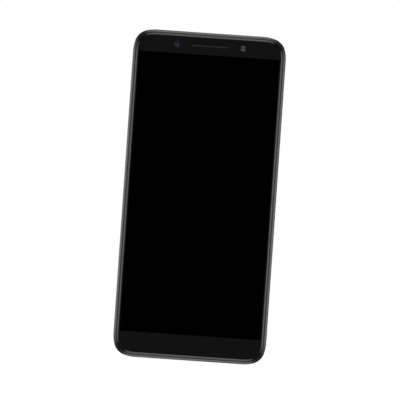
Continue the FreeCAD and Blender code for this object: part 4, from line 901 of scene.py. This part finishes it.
# ---- Rear cover
# One moulding in polycarbonate, curved to the palm, sprayed graphite with a fine pearl and a satin lacquer.
# Clips round its edge snap into the band.

graphite = finish("graphite", (0.020, 0.021, 0.024), (0.040, 0.042, 0.047), 0.11, (0.34, 0.44), 0.25, 0.0015)
dress(graphite, "rear_cover")


# ---- Rear camera
# A bevelled ring of polished alloy round a window of scratch-proof glass, printed black but for its middle.
# Behind it the barrel moves to focus, with a ribbed black stop over a coated lens whose colour holds the same
# painted shade and painted reflection.

CLEAR_MIDDLE = 2.75
PRINT_LINE = 0.12
PRINT_ROUGH = 0.08
PRINT_BLACK = (0.006, 0.006, 0.007, 1)
PRINT_SILVER = (0.3, 0.3, 0.31, 1)
WINDOW_ARRIS = 0.12
STOP_STEPS = 4
STOP_PITCH = 0.2
STOP_STEP = 0.05             # how much deeper each step lies
STOP_EDGE = 0.14
STOP_LIP = 0.04
STOP_SINK = (0.05, 0.1)      # below the barrel's nose, and into the lens's crown

ring_alloy = finish("ring_alloy", (0.30, 0.305, 0.32), (0.42, 0.425, 0.44), 0.1, (0.16, 0.26), 1.0, 0.001)
dress(ring_alloy, "camera_ring", "fingerprint_ring")

barrel_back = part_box("camera_barrel")[1].y
lens_low, lens_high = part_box("camera_lens")
lens_mid = (lens_low + lens_high) / 2
lens_radius = (lens_high.x - lens_low.x) / 2
# the rear lens gets the same painted shade and painted reflection in its colour
dress(lens_painted_light("rear_lens_glass", lens_mid, lens_radius), "camera_lens")
top, foot = barrel_back - STOP_SINK[0] * MM, lens_high.y - STOP_SINK[1] * MM
profile = [(lens_radius, foot), (lens_radius, top)]
for step in range(STOP_STEPS):
    near = lens_radius - (STOP_EDGE + STOP_PITCH * step) * MM
    level = top - STOP_STEP * step * MM
    profile += [(near, level), (near - STOP_LIP * MM, level - STOP_STEP * MM)]
profile.append((profile[-1][0], foot))
shape = bmesh.new()
turned(shape, lens_mid, profile)
stop = make("rear_camera_stop", shape, barrel_black)
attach(stop, "lens_barrel")


def printed_window():
    """A clear middle in a black print, with a thin silver line where they meet."""
    material = clear_pane("printed_window")
    tree = material.node_tree
    clear = tree.nodes["Material Output"].inputs["Surface"].links[0].from_socket
    ink = tree.nodes.new("ShaderNodeBsdfPrincipled")
    ink.inputs["Roughness"].default_value = PRINT_ROUGH
    reach = reach_from(tree, lens_mid, (1, 0, 1))
    tone = tree.nodes.new("ShaderNodeMix")
    tone.data_type = "RGBA"
    tone.inputs["A"].default_value, tone.inputs["B"].default_value = PRINT_BLACK, PRINT_SILVER
    line = reckon(tree, "LESS_THAN", reach, (CLEAR_MIDDLE + PRINT_LINE) * MM)
    tree.links.new(line, tone.inputs["Factor"])
    tree.links.new(tone.outputs["Result"], ink.inputs["Base Color"])
    show(tree, reckon(tree, "GREATER_THAN", reach, CLEAR_MIDDLE * MM), clear, ink.outputs[0])
    return material


window_low, window_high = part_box("camera_window")
window_radius = (window_high.x - window_low.x) / 2
rim = WINDOW_ARRIS * MM
shape = bmesh.new()
turned(shape, lens_mid, [(0, window_low.y), (window_radius - rim, window_low.y),
                         (window_radius, window_low.y + rim), (window_radius, window_high.y - rim),
                         (window_radius - rim, window_high.y), (0, window_high.y)], 96, False)
window = make("rear_camera_window", shape, printed_window())
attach(window, "phone")
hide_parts("camera_window")


# ---- Flash
# A yellow-coated lamp on a small base behind a clear moulded disc with rings cut into its face.
# The disc is pressed into the cover from inside.

FLASH_RINGS = 7
FLASH_CUT = 0.05
FLASH_RIDGE = 0.14
FLASH_SIDE = 0.15            # the disc's side ends this far below its face
PHOSPHOR = 0.95
PHOSPHOR_FADE = (0.7, 1.3)
PHOSPHOR_GLOW = (0.72, 0.56, 0.14)

lamp_yellow = finish("lamp_yellow", (0.62, 0.50, 0.10), (0.80, 0.66, 0.18), 0.12, (0.4, 0.55), 0.0, 0.003)
dress(lamp_yellow, "flash_led")


def ringed_disc(middle):
    """Milky clear plastic that shows the yellow lamp behind its middle."""
    material = finish("ringed_disc", (0.50, 0.50, 0.46), (0.66, 0.65, 0.60), 0.35, (0.1, 0.18), lacquer=0.6)
    tree = material.node_tree
    span = [PHOSPHOR * share * MM for share in PHOSPHOR_FADE]
    glow = spread(tree, reach_from(tree, middle, (1, 1, 1)), (1, 0), span)
    lay(tree, tree.nodes["Principled BSDF"], glow, PHOSPHOR_GLOW)
    return material


flash_low, flash_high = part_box("flash_lens")
flash_mid = (flash_low + flash_high) / 2
flash_radius = (flash_high.x - flash_low.x) / 2
profile = [(0, flash_low.y), (flash_radius, flash_low.y), (flash_radius, flash_high.y - FLASH_SIDE * MM)]
for step in range(FLASH_RINGS, 0, -1):
    reach = flash_radius * step / (FLASH_RINGS + 0.5)
    profile += [(reach, flash_high.y), (reach - FLASH_RIDGE * MM, flash_high.y - FLASH_CUT * MM)]
profile.append((0, flash_high.y - FLASH_CUT * MM / 2))
shape = bmesh.new()
turned(shape, flash_mid, profile, 64, False)
flash_disc = make("flash_disc", shape, ringed_disc(flash_mid))
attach(flash_disc, "phone")
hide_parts("flash_lens")


# ---- Fingerprint sensor
# A round pad of hard-coated black ceramic, set a quarter of a millimetre into its bevelled ring.
# The finish is silky, a little smoother than the cover.

silky_black = finish("silky_black", (0.011, 0.011, 0.013), (0.016, 0.016, 0.018), 0.07, (0.26, 0.32),
                     0.0, 0.0005, lacquer=0.3)
dress(silky_black, "fingerprint_sensor")


# ---- Keys
# The power key and the volume rocker are moulded in the same black as the band, with a brighter lacquer.
# They slide in slots of the band, and a flange inside keeps them from falling out.

key_black = finish("key_black", (0.012, 0.012, 0.013), (0.02, 0.02, 0.021), 0.08, (0.2, 0.28), 0.0, 0.0005)
dress(key_black, "power_key", "volume_key")


# ---- Card tray
# The tray's head matches the band; its blade is injection-moulded metal, bare and lightly brushed.
# It carries a small card and a memory card, and a pin through the hole in its head pushes it out.

HEAD_DEPTH = 1.22
HEAD_BLACK = (0.013, 0.013, 0.014)


def painted_head():
    """Black paint on the head, bare brushed metal on the blade."""
    material = finish("tray_metal", (0.30, 0.30, 0.31), (0.46, 0.46, 0.47), 0.2, (0.26, 0.4), 1.0, 0.002,
                      (0.15, 1, 1))
    tree = material.node_tree
    shader = tree.nodes["Principled BSDF"]
    x = axes(tree, places(tree))["X"]
    head = reckon(tree, "LESS_THAN", x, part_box("sim_tray")[0].x + HEAD_DEPTH * MM)
    lay(tree, shader, head, HEAD_BLACK)
    tree.links.new(reckon(tree, "SUBTRACT", 1, head), shader.inputs["Metallic"])
    return material


card_white = finish("card_white", (0.62, 0.62, 0.60), (0.72, 0.72, 0.70), 0.4, (0.35, 0.45), 0.0, 0.002)
card_black = finish("card_black", (0.015, 0.015, 0.016), (0.03, 0.03, 0.031), 0.2, (0.4, 0.5), 0.0, 0.002)
dress(painted_head(), "sim_tray")
dress(card_white, "sim_card")
dress(card_black, "memory_card")


# ---- Contacts of the two cards
# Gold pads on the face of each card that looks towards the board: six on the small card, eight on the other.
# They are etched from the card's own foil and barely stand proud.

PAD = 0.03
PAD_ARRIS = 0.01
PAD_STEPS = 4
SMALL_PAD = (2.3, 2.1, 0.35)         # width, height and corner
SMALL_PITCH = (1.25, 2.3)
MEMORY_PAD = (2.6, 0.72, 0.12)
MEMORY_SPOT = 4.2                    # from the middle of the card to its row of pads
MEMORY_PADS = 8


def pads(name, card, size, spots):
    """A group of pads on the back of a card, at spots counted from its middle in mm."""
    low, high = card
    shape = bmesh.new()
    for x, z in spots:
        spot = (low + high) / 2 + Vector((x * MM, 0, z * MM))
        plate(shape, round_line(spot, *[value * MM for value in size], PAD_STEPS),
              (high.y - PAD * MM, high.y + PAD * MM), PAD_ARRIS * MM)
    return make(name, shape, gold)


small_pads = pads("small_card_pads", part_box("sim_card"), SMALL_PAD,
                  [(column * SMALL_PITCH[0], row * SMALL_PITCH[1])
                   for column in (-1, 1) for row in (-1, 0, 1)])
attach(small_pads, "card_tray")
memory_pads = pads("memory_card_pads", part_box("memory_card"), MEMORY_PAD,
                   [(MEMORY_SPOT, number - (MEMORY_PADS - 1) / 2) for number in range(MEMORY_PADS)])
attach(memory_pads, "card_tray")


# ---- Floor
# A wide pale sweep of matt card under the phone.
# It takes the phone's soft shadow and isn't part of it.

FLOOR_HALF = 2.0
FLOOR_GAP = 0.0002
FLOOR_GLOW = 0.28

shape = bmesh.new()
bmesh.ops.create_grid(shape, x_segments=8, y_segments=8, size=FLOOR_HALF,
                      matrix=Matrix.Translation((0, 0, cad_box[0].z - FLOOR_GAP)))
pale_card = finish("pale_card", (0.80, 0.80, 0.80), (0.84, 0.84, 0.84), 3.0, (0.8, 0.9))
pale_card.node_tree.nodes["Principled BSDF"].inputs["Emission Color"].default_value = (1, 1, 1, 1)
pale_card.node_tree.nodes["Principled BSDF"].inputs["Emission Strength"].default_value = FLOOR_GLOW
floor = make("floor", shape, pale_card)
floor.visible_glossy = False
floor.visible_shadow = False


# ---- Studio light
# Four long soft boxes stand to the left, right, above and below, slightly in front of the phone.
# Two more light the back, and the room itself is white where it is seen and dark where it is mirrored.

SIDE_ANGLE = math.radians(67)
SIDE_BOX = (0.8, (1.24, 0.5), 2.85)          # distance, size and brightness
BACK_BOX = (0.9, (0.6, 0.6), 4.4)
BACK_FILL = (0.9, (0.5, 0.8), 2.3)
ROOM_FILL = 0.7
ROOM_BEHIND = 0.45
BEHIND_SPAN = (0.3, 0.95)                    # from the side of the phone to straight behind it


def soft_light(name, direction, distance, size, brightness):
    """A light box that faces the phone; it fades across the second of its sizes."""
    lamp = bpy.data.lights.new(name, "AREA")
    lamp.shape = "RECTANGLE"
    lamp.size, lamp.size_y = size
    lamp.energy = brightness * 4 * size[0] * size[1]
    lamp.use_nodes = True
    tree = lamp.node_tree
    share = axes(tree, tree.nodes.new("ShaderNodeNewGeometry").outputs["Parametric"])["Y"]
    hump = reckon(tree, "MULTIPLY", share, reckon(tree, "SUBTRACT", 1, share))
    tree.links.new(reckon(tree, "MULTIPLY", hump, 4), tree.nodes["Emission"].inputs["Strength"])
    direction = Vector(direction).normalized()
    ahead = Vector((0, -1, 0))
    width = (ahead - direction * ahead.dot(direction)).normalized()
    turn = Matrix((width, direction.cross(width), direction)).transposed()
    thing = bpy.data.objects.new(name, lamp)
    stand = (cad_box[0] + cad_box[1]) / 2 + direction * distance
    thing.matrix_world = Matrix.Translation(stand) @ turn.to_4x4()
    thing.visible_camera = False
    bpy.context.scene.collection.objects.link(thing)


for name, right, up in (("left_box", -1, 0), ("right_box", 1, 0), ("top_box", 0, 1), ("bottom_box", 0, -1)):
    heading = (right * math.sin(SIDE_ANGLE), -math.cos(SIDE_ANGLE), up * math.sin(SIDE_ANGLE))
    soft_light(name, heading, *SIDE_BOX)
soft_light("back_box", (0.35, 0.8, 0.6), *BACK_BOX)
soft_light("back_fill", (-0.8, 0.7, 0.15), *BACK_FILL)

world = bpy.data.worlds.new("room")
bpy.context.scene.world = world
world.use_nodes = True
tree = world.node_tree
path = tree.nodes.new("ShaderNodeLightPath").outputs
seen = reckon(tree, "MULTIPLY_ADD", path["Is Diffuse Ray"], ROOM_FILL, path["Is Camera Ray"])
behind = spread(tree, axes(tree, tree.nodes.new("ShaderNodeTexCoord").outputs["Generated"])["Y"],
                (0, ROOM_BEHIND), BEHIND_SPAN)
behind.node.interpolation_type = "SMOOTHSTEP"
tree.nodes["Background"].inputs["Color"].default_value = (1, 1, 1, 1)
tree.links.new(reckon(tree, "MULTIPLY_ADD", path["Is Glossy Ray"], behind, seen),
               tree.nodes["Background"].inputs["Strength"])
bpy.context.scene.view_settings.view_transform = "Standard"


# ---- Camera
# It looks straight at the screen from far off, so there is no perspective.
# The phone leans a few degrees to the right and sits a little above the middle of the view.

LEAN = math.radians(3.96)
VIEW_HEIGHT = 0.1791
VIEW_RIGHT = 0.00018
VIEW_DOWN = 0.00139
VIEW_AWAY = 0.6

lens = bpy.data.cameras.new("camera")
lens.type = "ORTHO"
lens.ortho_scale = VIEW_HEIGHT
camera = bpy.data.objects.new("camera", lens)
bpy.context.scene.collection.objects.link(camera)
right = Vector((math.cos(LEAN), 0, math.sin(LEAN)))
upward = Vector((-math.sin(LEAN), 0, math.cos(LEAN)))
backward = Vector((0, -1, 0))
middle = (cad_box[0] + cad_box[1]) / 2
stand = middle + right * VIEW_RIGHT - upward * VIEW_DOWN + backward * VIEW_AWAY
camera.matrix_world = Matrix.Translation(stand) @ Matrix((right, upward, backward)).transposed().to_4x4()
bpy.context.scene.camera = camera
